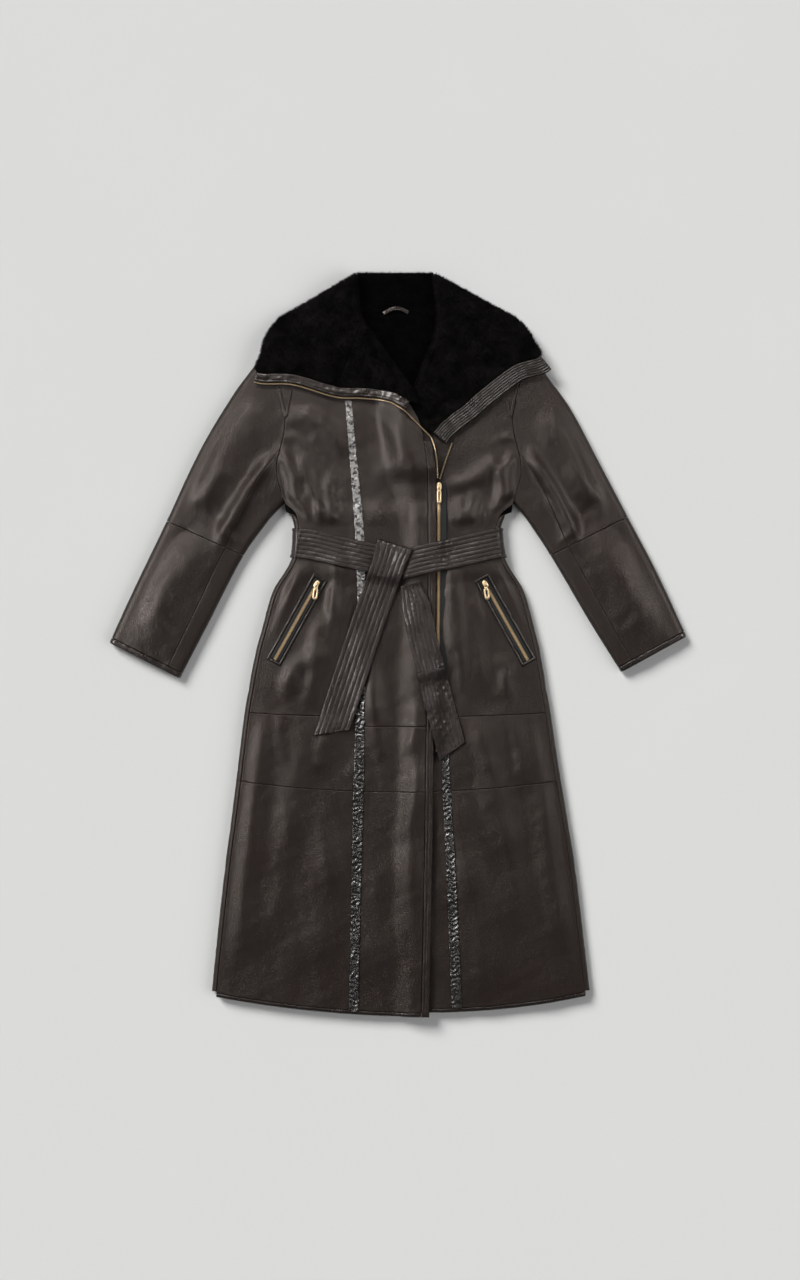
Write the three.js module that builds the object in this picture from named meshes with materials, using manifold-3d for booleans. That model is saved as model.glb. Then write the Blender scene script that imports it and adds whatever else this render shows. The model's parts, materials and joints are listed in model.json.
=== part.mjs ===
// A long shearling coat laid flat on its back, front up, with its collar turned out and its belt tied.
// X runs to the wearer's left, Y towards the collar, Z up from the surface. Millimetres.
// "right" and "left" in the names are the wearer's.
import * as THREE from "three";
import { mergeVertices } from "three/addons/utils/BufferGeometryUtils.js";
import Module from "manifold-3d";

const manifold = await Module();
manifold.setup();

// Driving sizes
const WALL = 8; // skin and pile together
const GAP = 0.3; // between pieces at a seam
const LAID = 0.7; // under a strip that follows a faceted surface
const EDGE = 9; // radius of the rolled side edges, so that the two walls lie 2 apart
const PUFF = 1.6; // how far the upper layer stands off the lower one
const SETTLE = 30; // the distance over which it rises from a rolled edge
const REST = 0.95; // between a wall and one that lies on it
const STEP_UP = WALL + REST; // the height of one more layer
const WING_LIFT = 1.2; // a wing stands this much further off what it lies on
const CURVE_GAP = 0.9; // at the curved side and armhole seams, whose two sides are cut in facets
const BELT_WIDE = 50;
const BELT_THICK = 3.5;
const BELT_Y = 172; // the middle of the belt at the sides and the back
const BELT_LIFT = BELT_THICK + LAID; // what the belt behind raises the coat by
const BELT_FLAT = 45; // how far from the belt's middle the coat is raised in full
const BELT_RAMP = 30; // and how long it takes to come down again
const CENTRE_BACK = 3; // the seam down the middle of the back
const SIDE_SHIFT = 3; // the left armhole lies this much further out than the right one
const SHOULDER = { x: 221, y: 503 }; // the tip of the shoulder, mirrored for the left
const NECK = { x: 67, y: 567.8 }; // where the shoulder seam meets the collar
const ARMPIT_Y = 239.7;
const SEAM_TURN = 18; // how far below the armpit the side seam leaves the rolled edge
const COLLAR_TOP = 631;
const FACING_WIDE = 14; // the bound strip down the right front's edge
const TAPE_THICK = 1.6; // leather tapes and welts that lie on a panel
const HEM_WIDE = 7;

// The coat's outline below the armpits
const SIDES = [
  { y: 239.7, right: -191.8, left: 196.9 },
  { y: 199.9, right: -180.4, left: 179.5 },
  { y: 168.3, right: -180.2, left: 180.2 },
  { y: 147.9, right: -183.6, left: 185.2 },
  { y: 117.3, right: -198.9, left: 200.6 },
  { y: 83.3, right: -215.2, left: 216.4 },
  { y: 32.3, right: -229.5, left: 230.5 },
  { y: -17, right: -242.6, left: 242.3 },
  { y: -78.2, right: -254.2, left: 252.6 },
  { y: -117.3, right: -260.8, left: 259.4 },
  { y: -180.2, right: -268.6, left: 268.6 },
  { y: -277.1, right: -280.5, left: 284.4 },
  { y: -367.2, right: -292.4, left: 299.2 },
  { y: -503.2, right: -307.7, left: 316 },
  { y: -596.2, right: -316.9, left: 326.7 },
];

// The right armhole seam from the armpit to the shoulder tip
const ARMHOLE = [
  { y: 239.7, x: -191.8 },
  { y: 261.8, x: -198.9 },
  { y: 287.3, x: -204.9 },
  { y: 309.4, x: -204.5 },
  { y: 331.5, x: -199.5 },
  { y: 350.2, x: -194.8 },
  { y: 370.6, x: -191.6 },
  { y: 389.3, x: -191.6 },
  { y: 409.7, x: -195.5 },
  { y: 440.3, x: -201.5 },
  { y: 470.9, x: -211.7 },
  { y: 503, x: -221 },
];

// The right front's bound edge, where it lies over the left front
const FRONT_EDGE = [
  { y: 352, x: 52 },
  { y: 330, x: 59.5 },
  { y: 300, x: 63.5 },
  { y: 200, x: 64.5 },
  { y: 0, x: 63.5 },
  { y: -180, x: 61 },
  { y: -367, x: 58.5 },
  { y: -631, x: 53 },
];

// The inner edges of the two fronts above the zip, behind the roll of the lapels
const FRONT_NECK = [
  { y: 300, right: 49.2, left: 46 },
  { y: 330, right: 46, left: 44 },
  { y: 352, right: 41.5, left: 38 },
  { y: 380, right: 36, left: 29 },
  { y: 404, right: 24.5, left: 28.8 },
  { y: 432, right: 12.8, left: 37 },
  { y: 449, right: 1, left: 44.5 },
  { y: 471, right: -16, left: 53.5 },
  { y: 493, right: -31.2, left: 61.5 },
  { y: 515, right: -45.4, left: 70.5 },
  { y: 547, right: -68.5, left: 76.2 },
  { y: 568, right: -76, left: 76.2 },
];

// The shiny tapes down the fronts: centre and width
const TAPE_RIGHT = [
  { y: 413, x: -84, wide: 10.5 },
  { y: 330, x: -77, wide: 12 },
  { y: 177, x: -64.5, wide: 15 },
  { y: 30, x: -61.5, wide: 14 },
  { y: -130, x: -64.5, wide: 16 },
  { y: -250, x: -67, wide: 18 },
  { y: -400, x: -70.5, wide: 17 },
  { y: -622, x: -75, wide: 16 },
];
const TAPE_LEFT = [
  { y: -176, x: 80.6, wide: 12 },
  { y: -250, x: 82.7, wide: 14 },
  { y: -367, x: 89, wide: 16 },
  { y: -617, x: 100, wide: 18 },
];

// The largest soft folds of the upper layer: each from one end to the other, bowed sideways
const FOLDS = [
  { x0: -178, y0: 392, x1: -92, y1: 322, bow: -14, wide: 15, rise: 6 },
  { x0: -200, y0: 335, x1: -168, y1: 205, bow: -8, wide: 10, rise: 8 },
  { x0: -165, y0: 320, x1: -112, y1: 205, bow: 10, wide: 13, rise: 6 },
  { x0: -118, y0: 285, x1: -106, y1: 203, bow: 3, wide: 9, rise: 5 },
  { x0: -107, y0: 146, x1: -142, y1: -70, bow: -12, wide: 12, rise: 6 },
  { x0: -172, y0: 138, x1: -224, y1: 0, bow: -10, wide: 15, rise: 7 },
  { x0: -128, y0: -8, x1: -196, y1: -80, bow: 8, wide: 16, rise: 4 },
  { x0: -150, y0: -130, x1: -168, y1: -330, bow: 6, wide: 28, rise: 5 },
  { x0: -118, y0: -300, x1: -148, y1: -560, bow: -6, wide: 34, rise: 4 },
  { x0: -232, y0: -120, x1: -270, y1: -540, bow: 4, wide: 26, rise: 5 },
  { x0: -37, y0: -50, x1: -30, y1: -190, bow: 4, wide: 16, rise: 4 },
  { x0: 22, y0: -160, x1: -12, y1: -560, bow: -10, wide: 22, rise: 4 },
  { x0: -18, y0: 392, x1: 34, y1: 250, bow: -12, wide: 18, rise: 4 },
  { x0: 86, y0: 268, x1: 172, y1: 322, bow: 12, wide: 14, rise: 7 },
  { x0: 168, y0: 310, x1: 160, y1: 204, bow: -10, wide: 10, rise: 7 },
  { x0: 190, y0: 320, x1: 190, y1: 232, bow: 5, wide: 9, rise: 6 },
  { x0: 128, y0: 262, x1: 124, y1: 204, bow: 3, wide: 9, rise: 5 },
  { x0: 104, y0: 250, x1: 104, y1: 202, bow: 0, wide: 8, rise: 5 },
  { x0: 102, y0: 134, x1: 108, y1: -70, bow: 0, wide: 11, rise: 6 },
  { x0: 180, y0: 140, x1: 222, y1: 10, bow: 10, wide: 14, rise: 6 },
  { x0: 150, y0: -120, x1: 168, y1: -360, bow: -6, wide: 30, rise: 5 },
  { x0: 232, y0: -130, x1: 276, y1: -540, bow: -4, wide: 28, rise: 5 },
  { x0: 120, y0: -330, x1: 160, y1: -570, bow: 6, wide: 30, rise: 4 },
  { x0: -213, y0: 318, x1: -306, y1: 168, bow: 5, wide: 12, rise: 12 },
  { x0: -250, y0: 400, x1: -350, y1: 232, bow: -8, wide: 34, rise: 8 },
  { x0: -330, y0: 178, x1: -428, y1: -4, bow: 4, wide: 32, rise: 7 },
  { x0: -278, y0: 146, x1: -372, y1: -38, bow: 0, wide: 12, rise: 5 },
  { x0: 222, y0: 322, x1: 306, y1: 172, bow: -5, wide: 12, rise: 12 },
  { x0: 254, y0: 398, x1: 350, y1: 236, bow: 8, wide: 34, rise: 8 },
  { x0: 330, y0: 182, x1: 426, y1: 6, bow: -4, wide: 32, rise: 7 },
  { x0: 276, y0: 150, x1: 376, y1: -28, bow: 0, wide: 12, rise: 5 },
];

// The sleeves: their inner and outer edges from the armhole over the elbow seam to the cuff
const SLEEVES = {
  right: {
    inner: [
      { y: 239.7, x: -191.8 },
      { y: 212, x: -217.5 },
      { y: 150.6, x: -262 },
      { y: 29.8, x: -324.4 },
      { y: -58.3, x: -370.1 },
    ],
    outer: [
      { y: 503, x: -221 },
      { y: 469.9, x: -245.5 },
      { y: 424.5, x: -278.8 },
      { y: 329.6, x: -335.8 },
      { y: 209.4, x: -392.5 },
      { y: 90.4, x: -449.7 },
      { y: 2.6, x: -489.8 },
    ],
    elbow: { inner: 150.6, outer: 209.4 },
  },
  left: {
    inner: [
      { y: 239.7, x: 194.8 },
      { y: 212, x: 217.5 },
      { y: 151, x: 258.6 },
      { y: 39.8, x: 324 },
      { y: -47.6, x: 378.6 },
    ],
    outer: [
      { y: 503, x: 224 },
      { y: 458, x: 251 },
      { y: 403.1, x: 290.4 },
      { y: 301.6, x: 345.1 },
      { y: 216.4, x: 389.8 },
      { y: 124.1, x: 438.3 },
      { y: 13.6, x: 489.8 },
    ],
    elbow: { inner: 151, outer: 216.4 },
  },
};
const SEAM_AT = [0.349, 0.225, 0.2]; // the front sleeve seam at armhole, elbow and cuff, as a share
const HIND_SEAM = 20; // how far in from the outer edge the hind sleeve seam runs underneath

// The roll of each collar wing and its free edge, row by row from the nape to the lapel's end.
// low is the level from which the roll rises.
const WING_RIGHT = [
  { rollX: -69.7, rollY: 629, low: 0.4, freeX: -201.6, freeY: 554.9 },
  { rollX: -68, rollY: 602, low: 0.4, freeX: -223.4, freeY: 524.6 },
  { rollX: -67, rollY: 588, low: 0.4, freeX: -232.4, freeY: 493.2 },
  { rollX: -66.5, rollY: 582, low: 0.4, freeX: -238, freeY: 461.5 },
  { rollX: -65, rollY: 569, low: 8.8, freeX: -175, freeY: 457 },
  { rollX: -59.5, rollY: 549, low: 8.8, freeX: -104, freeY: 436.5 },
  { rollX: -35, rollY: 515, low: 8.8, freeX: -64, freeY: 434.5 },
  { rollX: -5.8, rollY: 471.4, low: 8.8, freeX: -30, freeY: 431.5 },
  { rollX: 11.9, rollY: 447.1, low: 9.5, freeX: -8, freeY: 426 },
  { rollX: 20.5, rollY: 436, low: 31.8, freeX: 3, freeY: 420.5 },
  { rollX: 34, rollY: 408, low: 31.8, freeX: 20, freeY: 410 },
];
const WING_LEFT = [
  { rollX: 60.4, rollY: 629, low: 0.4, freeX: 200.6, freeY: 554.9 },
  { rollX: 62.5, rollY: 602, low: 0.4, freeX: 219.5, freeY: 534 },
  { rollX: 64.5, rollY: 588, low: 0.4, freeX: 230, freeY: 515.1 },
  { rollX: 65.5, rollY: 582, low: 0.4, freeX: 240.9, freeY: 488.4 },
  { rollX: 66.3, rollY: 569, low: 8.8, freeX: 196, freeY: 472.5 },
  { rollX: 66.3, rollY: 543, low: 8.8, freeX: 141, freeY: 431.5 },
  { rollX: 60.4, rollY: 515, low: 8.8, freeX: 123, freeY: 415.5 },
  { rollX: 47, rollY: 483, low: 8.8, freeX: 108, freeY: 402.5 },
  { rollX: 34, rollY: 449.7, low: 8.8, freeX: 92, freeY: 391 },
  { rollX: 19.6, rollY: 406.3, low: 8.8, freeX: 72, freeY: 374 },
  { rollX: 20.5, rollY: 375, low: 8.8, freeX: 59, freeY: 358.5 },
];
const BINDING_WIDE = 15.5; // the bound edge of the right wing
const BAND_WIDE = 29; // the stitched band along the left wing
const BOUND_FROM = 3; // both start at this row, the wing's outer corner
const LAPEL_FROM = 5; // the row of the seam between collar and lapel

// The belt's middle line: two stretches across the front and two hanging ends
const BELT_RIGHT = [
  { x: -171.4, y: 171.8 },
  { x: -140, y: 167.3 },
  { x: -78, y: 153 },
  { x: -7, y: 139 },
];
const BELT_LEFT = [
  { x: 171.6, y: 171.6 },
  { x: 140, y: 164.6 },
  { x: 78, y: 151 },
  { x: 3, y: 134 },
];
const END_RIGHT = [
  { x: -4.6, y: 170.4 },
  { x: -20, y: 124 },
  { x: -49, y: 41 },
  { x: -78, y: -46 },
  { x: -112, y: -150 },
];
const END_LEFT = [
  { x: 20, y: 102 },
  { x: 29, y: 69 },
  { x: 42.5, y: 8.5 },
  { x: 57.3, y: -47 },
];
const TIP_LEFT = [
  { x: 55.8, y: -44 },
  { x: 68.9, y: -96 },
  { x: 91.8, y: -182 },
];
const TIP_SLANT = { right: 14, left: 10.5 }; // how far the outer corner of each tip hangs past the middle

// The pockets: the middle of the welt at its upper and lower end
const POCKETS = {
  right: { x0: -131, y0: 114, x1: -211.5, y1: -31, pull: -1.69 },
  left: { x0: 141, y0: 114, x1: 222.5, y1: -31.6, pull: -1.43 },
};
const WELT = { wide: 27.4, border: 5, thick: 2.2, slider: 14 };
const ZIP = { tape: 1, teeth: 3.2, chain: 5.6 }; // thickness of the tape, of the chain, its width

// Sliders and their pulls, in the frame of the pull's axle, with the pull hanging towards -Y
const SLIDER = { wide: 8.6, long: 12, thick: 2, arch: 3.8, foot: 1.2, bridge: 2, beam: 1, sunk: 0.5 };
const PULLS = {
  main: { long: 29, tab: 7.8, eye: 5.6 },
  pocket: { long: 26, tab: 9, eye: 5.6 },
};
const EYE = { rim: 1.1, hole: 5, long: 6, tab: 9 }; // how far down each part of a pull reaches
const AXLE = 1.4; // thickness of a pull
const AXLE_GAP = 0.6; // round the bar of a pull under the slider's bridge
const AXLE_UP = GAP + SLIDER.thick + AXLE / 2 + AXLE_GAP; // the axle above the chain
const MAIN_SLIDER = { x: 69.7, y: 267.6 };
const PULL_TILT = THREE.MathUtils.degToRad(3); // a pull leans down on the teeth below it

const { lerp, smoothstep, clamp } = THREE.MathUtils;
const share = (value, from, to) => smoothstep(value, from, to);

// A smooth curve through one column of a table, read at a value of another column.
function track(rows, at, out) {
  const last = rows.length - 1;
  const rising = rows[last][at] > rows[0][at];
  const slope = (k) => {
    const before = rows[Math.max(k - 1, 0)];
    const after = rows[Math.min(k + 1, last)];
    return (after[out] - before[out]) / (after[at] - before[at]);
  };
  return (value) => {
    let k = 0;
    while (k < last - 1 && (rising ? value > rows[k + 1][at] : value < rows[k + 1][at])) k++;
    const span = rows[k + 1][at] - rows[k][at];
    const t = clamp((value - rows[k][at]) / span, 0, 1);
    const [t2, t3] = [t * t, t * t * t];
    return (
      (2 * t3 - 3 * t2 + 1) * rows[k][out] +
      (t3 - 2 * t2 + t) * span * slope(k) +
      (3 * t2 - 2 * t3) * rows[k + 1][out] +
      (t3 - t2) * span * slope(k + 1)
    );
  };
}

// The belt behind raises the waist and draws its sides in.
const beltShare = (y) => {
  const off = Math.abs(y - BELT_Y);
  return 1 - share(off, BELT_FLAT, BELT_FLAT + BELT_RAMP);
};
const beltLift = (y) => BELT_LIFT * beltShare(y);
const outlineRight = track(SIDES, "y", "right");
const outlineLeft = track(SIDES, "y", "left");
const sideRight = (y) => outlineRight(y) + beltLift(y);
const sideLeft = (y) => outlineLeft(y) - beltLift(y);
const armholeRight = track(ARMHOLE, "y", "x");
const armholeBack = (y) => lerp(ARMHOLE[0].x, -SHOULDER.x, (y - ARMPIT_Y) / (SHOULDER.y - ARMPIT_Y));
const frontEdge = track(FRONT_EDGE, "y", "x");
const neckRight = track(FRONT_NECK, "y", "right");
const neckLeft = track(FRONT_NECK, "y", "left");

// Height that the folds add to the upper layer: bell-shaped across, faded at both ends.
function relief(x, y) {
  let sum = 0;
  for (const fold of FOLDS) {
    const [dx, dy] = [fold.x1 - fold.x0, fold.y1 - fold.y0];
    const long = Math.hypot(dx, dy);
    const along = ((x - fold.x0) * dx + (y - fold.y0) * dy) / long / long;
    const t = clamp(along, -0.2, 1.2);
    const bow = fold.bow * 4 * t * (1 - t);
    const off = ((x - fold.x0) * dy - (y - fold.y0) * dx) / long - bow;
    const fade = share(along, -0.12, 0.2) * (1 - share(along, 0.75, 1.12));
    sum += fold.rise * fade * Math.exp(-((off / fold.wide) ** 2));
  }
  return sum;
}

// Under the belt, the pockets and the wings the folds are pressed flat.
function calm(x, y) {
  const { x0, y0, x1, y1 } = x < 0 ? POCKETS.right : POCKETS.left;
  const [dx, dy] = [x1 - x0, y1 - y0];
  const t = clamp(((x - x0) * dx + (y - y0) * dy) / (dx * dx + dy * dy), 0, 1);
  const off = Math.hypot(x - x0 - t * dx, y - y0 - t * dy);
  const belt = 1 - share(Math.abs(y - BELT_Y), BELT_WIDE / 2, BELT_WIDE / 2 + 16);
  return (1 - 0.8 * belt) * share(off, 14, 36) * (1 - share(y, 392, 425));
}

// The upper layer's level, inset millimetres in from a rolled edge.
function upperLevel(x, y, inset) {
  const rise = PUFF + relief(x, y) * calm(x, y);
  return 2 * EDGE + beltLift(y) + rise * share(inset, 0, SETTLE);
}

// Outer boundary of a front, and how far in from the rolled edge a point of it lies.
function frontSide(side, y) {
  const sign = side === "right" ? -1 : 1;
  const inside = (sign * CURVE_GAP) / 2;
  const edge = side === "right" ? sideRight(y) : sideLeft(y);
  const armhole = side === "right" ? armholeRight(y) : SIDE_SHIFT - armholeRight(y);
  const seam = lerp(edge - sign * EDGE, edge, share(y, ARMPIT_Y - SEAM_TURN, ARMPIT_Y));
  return (y >= ARMPIT_Y ? armhole : seam) - inside;
}
function frontInset(side, x, y) {
  return Math.abs(x - frontSide(side, Math.min(y, 600))) + Math.max(0, y - ARMPIT_Y);
}

// How far the right front is raised by the layers under its edge.
function rightLift(x, y) {
  const above = share(y, 220, 300);
  const full = lerp(frontEdge(Math.min(y, 300)) - 26, 11, above);
  const start = full - lerp(40, 50, above);
  const layers = 1 + share(y, 266, 304);
  return (STEP_UP * layers + 1.5 * (layers - 1)) * share(x, start, full) * (1 - share(y, 445, 500));
}
const rightTop = (x, y) => upperLevel(x, y, frontInset("right", x, y)) + rightLift(x, y);
const leftTop = (x, y) => upperLevel(x, y, frontInset("left", x, y));

// A wing sinks towards the surface beyond the shoulder seam, where nothing lies under it.
function shoulderDrop(x, y) {
  const [dx, dy] = [SHOULDER.x - NECK.x, SHOULDER.y - NECK.y];
  const long = Math.hypot(dx, dy);
  const beyond = ((y - NECK.y) * dx - (Math.abs(x) - NECK.x) * dy) / long;
  return 20 * share(beyond, 0, 55) * share(Math.abs(x), 84, 170);
}
const wingLevel = 2 * EDGE + PUFF + STEP_UP + WING_LIFT;
const wingTop = {
  right: (x, y) => wingLevel + rightLift(x, y) - shoulderDrop(x, y),
  left: (x, y) => wingLevel - shoulderDrop(x, y),
};

// Turns a list of corners and triangles into a geometry whose faces point out.
function closed(points, faces) {
  let volume = 0;
  for (const [a, b, c] of faces) {
    volume += points[a].dot(new THREE.Vector3().crossVectors(points[b], points[c]));
  }
  const order = volume > 0 ? faces : faces.map(([a, b, c]) => [a, c, b]);
  const geometry = new THREE.BufferGeometry().setFromPoints(points);
  geometry.setIndex(order.flat());
  return geometry;
}

// A closed wall between two matching grids of points, rows by columns; a ring has no end rows.
function wallBetween(outer, inner, ring = false) {
  const rows = outer.length;
  const columns = outer[0].length;
  const points = [...outer.flat(), ...inner.flat()].map((p) => new THREE.Vector3(...p));
  const under = rows * columns;
  const at = (r, c) => r * columns + c;
  const faces = [];
  const quad = (a, b, c, d) => faces.push([a, b, c], [a, c, d]);
  const bands = ring ? rows : rows - 1;
  const end = columns - 1;
  for (let r = 0; r < bands; r++) {
    const n = (r + 1) % rows;
    for (let c = 0; c < end; c++) {
      quad(at(r, c), at(r, c + 1), at(n, c + 1), at(n, c));
      quad(under + at(r, c), under + at(n, c), under + at(n, c + 1), under + at(r, c + 1));
    }
    quad(at(r, 0), at(n, 0), under + at(n, 0), under + at(r, 0));
    quad(at(n, end), at(r, end), under + at(r, end), under + at(n, end));
  }
  for (let c = 0; c < end && !ring; c++) {
    const last = rows - 1;
    quad(at(0, c + 1), at(0, c), under + at(0, c), under + at(0, c + 1));
    quad(at(last, c), at(last, c + 1), under + at(last, c + 1), under + at(last, c));
  }
  return closed(points, faces);
}

const range = (count) => Array.from({ length: count + 1 }, (_, k) => k / count);

// Rows from one height to another, as shares: twice as close about the waist as elsewhere.
function rowsBetween(low, high, pitch = 36) {
  const marks = [];
  let y = low;
  while (y < high - pitch / 3) {
    marks.push((y - low) / (high - low));
    y += y > 55 && y < 250 ? pitch / 2 : pitch;
  }
  return [...marks, 1];
}

// A wall that lies as a height field: from left to right at each y, and from a lower to an upper line.
function panel({ left, right, lower, upper, top, rows, columns, thick = WALL }) {
  const outer = [];
  const inner = [];
  for (const v of rows) {
    const upRow = [];
    const downRow = [];
    for (const u of range(columns)) {
      const guess = lerp(lower(0), upper(0), v);
      const across = lerp(left(guess), right(guess), u);
      const y = lerp(lower(across) + GAP / 2, upper(across) - GAP / 2, v);
      const x = lerp(left(y) + GAP / 2, right(y) - GAP / 2, u);
      upRow.push([x, y, top(x, y)]);
      downRow.push([x, y, top(x, y) - thick]);
    }
    outer.push(upRow);
    inner.push(downRow);
  }
  return wallBetween(outer, inner);
}

// A strip that lies on a surface: a row for each station, with its two sides, and heights across it.
function strip(stations, under, heights, lift = GAP) {
  const outer = [];
  const inner = [];
  for (const { innerX, innerY, outerX, outerY } of stations) {
    const upRow = [];
    const downRow = [];
    for (const { at, high } of heights) {
      const [x, y] = [lerp(innerX, outerX, at), lerp(innerY, outerY, at)];
      const base = under(x, y) + lift;
      upRow.push([x, y, base + high]);
      downRow.push([x, y, base]);
    }
    outer.push(upRow);
    inner.push(downRow);
  }
  return wallBetween(outer, inner);
}
const flat = (high, cells = 2) => range(cells).map((at) => ({ at, high }));

// Stations square to a middle line, a set distance apart, for a strip of the line's own width.
function alongLine(line, wide, count, slant = { start: 0, end: 0 }) {
  const curve = new THREE.CatmullRomCurve3(line.map((p) => new THREE.Vector3(p.x, p.y, 0)));
  return range(count).map((t) => {
    const middle = curve.getPointAt(t);
    const tangent = curve.getTangentAt(t);
    const half = (typeof wide === "function" ? wide(t) : wide) / 2;
    const [sx, sy] = [-tangent.y * half, tangent.x * half];
    const skew = t === 0 ? slant.start : t === 1 ? slant.end : 0;
    return {
      innerX: middle.x + sx + tangent.x * skew,
      innerY: middle.y + sy + tangent.y * skew,
      outerX: middle.x - sx - tangent.x * skew,
      outerY: middle.y - sy - tangent.y * skew,
    };
  });
}

// Lines across the body
const bulge = (x, half) => 1 - (x / half) ** 2;
const hemRight = (x) => -596 - 35 * (1 - ((x - 51) / 368) ** 2);
const hemLeft = (x) => -594 - 30 * (1 - ((x - 56) / 271) ** 2);
const hemBack = (x) => -594 - 24 * bulge(x, 322);
const seamLow = (x) => -231 - 19 * bulge(x, 275);
const seamHigh = (x) => -115.5 - 8 * bulge(x, 262);
const seamHighCentre = () => -139;
const shoulderLine = (x) => {
  const t = (Math.abs(x) - NECK.x) / (SHOULDER.x - NECK.x);
  return lerp(NECK.y, SHOULDER.y, clamp(t, 0, 1.02));
};

const LEATHER = { color: 0x2b211d, roughness: 0.45, metalness: 0 };
const SHINY = { color: 0x3a3634, roughness: 0.25, metalness: 0 };
const FUR = { color: 0x0b0a0a, roughness: 0.95, metalness: 0 };
const BRASS = { color: 0xc8a468, roughness: 0.3, metalness: 1 };

const coat = new THREE.Group();
function add(name, geometry, finish) {
  const mesh = new THREE.Mesh(geometry, new THREE.MeshStandardMaterial(finish));
  mesh.name = name;
  coat.add(mesh);
  return mesh;
}

// The level of the highest of the named pieces at a point, or within reach of it
function levelOver(names, reach = 3) {
  const under = names.map((name) => coat.getObjectByName(name));
  const ray = new THREE.Raycaster();
  const down = new THREE.Vector3(0, 0, -1);
  const ring = range(8).map((t) => [reach * Math.cos(2 * Math.PI * t), reach * Math.sin(2 * Math.PI * t)]);
  return (x, y) => {
    let best = 0;
    for (const [dx, dy] of [[0, 0], ...ring]) {
      ray.set(new THREE.Vector3(x + dx, y + dy, 200), down);
      const hits = ray.intersectObjects(under);
      if (hits.length > 0) best = Math.max(best, hits[0].point.z);
    }
    return best;
  };
}

// Fronts: side panels and centre panels of the right front, and the left front, each in three tiers
const tapeLine = track(TAPE_RIGHT, "y", "x");
const facingLine = (y) => (y > 300 ? neckRight(y) - 8 * share(y, 352, 470) : frontEdge(y) - FACING_WIDE);
const underlapLine = (y) => (y > 300 ? neckLeft(y) : frontEdge(y) - 17);
const aboveHem = (line) => (x) => line(x) + HEM_WIDE;
const lowRows = rowsBetween(-620, -250, 52);
const middleRows = rowsBetween(-250, -123, 42);
const highRows = rowsBetween(-123, 567.8);
const rightTiers = [
  { tier: "lower", lower: aboveHem(hemRight), upper: seamLow, rows: lowRows },
  { tier: "middle", lower: seamLow, upper: seamHigh, centre: seamHighCentre, rows: middleRows },
  { tier: "upper", lower: seamHigh, centre: seamHighCentre, upper: shoulderLine, rows: highRows },
];
for (const { tier, lower, upper, centre, rows } of rightTiers) {
  const side = { left: (y) => frontSide("right", y), right: tapeLine, lower, upper, columns: 5 };
  const middle = { left: tapeLine, right: facingLine, lower, upper, columns: 4 };
  if (tier === "upper") middle.lower = centre;
  if (tier === "middle") middle.upper = centre;
  add(`front_right_side_${tier}`, panel({ ...side, top: rightTop, rows }), LEATHER);
  add(`front_right_centre_${tier}`, panel({ ...middle, top: rightTop, rows }), LEATHER);
}
const leftTiers = [
  { tier: "lower", lower: aboveHem(hemLeft), upper: seamLow, rows: lowRows },
  { tier: "middle", lower: seamLow, upper: seamHigh, rows: middleRows },
  { tier: "upper", lower: seamHigh, upper: shoulderLine, rows: highRows },
];
for (const { tier, lower, upper, rows } of leftTiers) {
  const sides = { left: underlapLine, right: (y) => frontSide("left", y) };
  const shape = panel({ ...sides, lower, upper, top: leftTop, rows, columns: 7 });
  add(`front_left_${tier}`, shape, LEATHER);
}

// Hems: strips that finish the lower edge of the fronts and the back
const hemRun = (line, from, to) =>
  range(8).map((t) => {
    const x = lerp(from, to, t);
    return { innerX: x, innerY: line(x) + HEM_WIDE - GAP, outerX: x, outerY: line(x) };
  });
const hemThick = WALL + 0.7;
const hemSides = [sideRight(-600) + EDGE, sideLeft(-600) - EDGE];
const hemRightRun = hemRun(hemRight, hemSides[0], frontEdge(-631) - FACING_WIDE - GAP);
const hemLeftRun = hemRun(hemLeft, frontEdge(-631) - 16, hemSides[1]);
const underRight = (x, y) => rightTop(x, y) - WALL;
const underLeft = (x, y) => leftTop(x, y) - WALL;
add("hem_right", strip(hemRightRun, underRight, flat(hemThick), 0), LEATHER);
add("hem_left", strip(hemLeftRun, underLeft, flat(hemThick), 0), LEATHER);
const hemBackRun = hemRun(hemBack, hemSides[0], hemSides[1]);
add("hem_back", strip(hemBackRun, () => 0, flat(hemThick), 0), LEATHER);

// The bound strip down the right front's edge, from the hem to the lapel
const facingStations = range(48).map((t) => {
  const y = lerp(hemRight(50), 344, t);
  return { innerX: facingLine(y) + LAID, innerY: y, outerX: frontEdge(y), outerY: y };
});
add("facing_right", strip(facingStations, underRight, flat(WALL + 0.6, 1), GAP), LEATHER);

// Shiny tapes over the long seams
function tapeStations(rows, count) {
  const middle = track(rows, "y", "x");
  const wide = track(rows, "y", "wide");
  return range(count).map((t) => {
    const y = lerp(rows[0].y, rows[rows.length - 1].y, t);
    const half = wide(y) / 2;
    return { innerX: middle(y) - half, innerY: y, outerX: middle(y) + half, outerY: y };
  });
}
const tiers = ["lower", "middle", "upper"];
const rightNames = tiers.flatMap((tier) => [`front_right_side_${tier}`, `front_right_centre_${tier}`]);
rightNames.push("facing_right");
const leftNames = tiers.map((tier) => `front_left_${tier}`);
const onRight = levelOver(rightNames);
const onLeft = levelOver(leftNames);
const onRightWide = levelOver(rightNames, 9);
const onLeftWide = levelOver(leftNames, 6);
const tapeFlat = flat(TAPE_THICK, 1);
add("seam_tape_right", strip(tapeStations(TAPE_RIGHT, 54), onRight, tapeFlat, LAID), SHINY);
add("seam_tape_left", strip(tapeStations(TAPE_LEFT, 20), onLeft, tapeFlat, LAID), SHINY);

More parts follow.
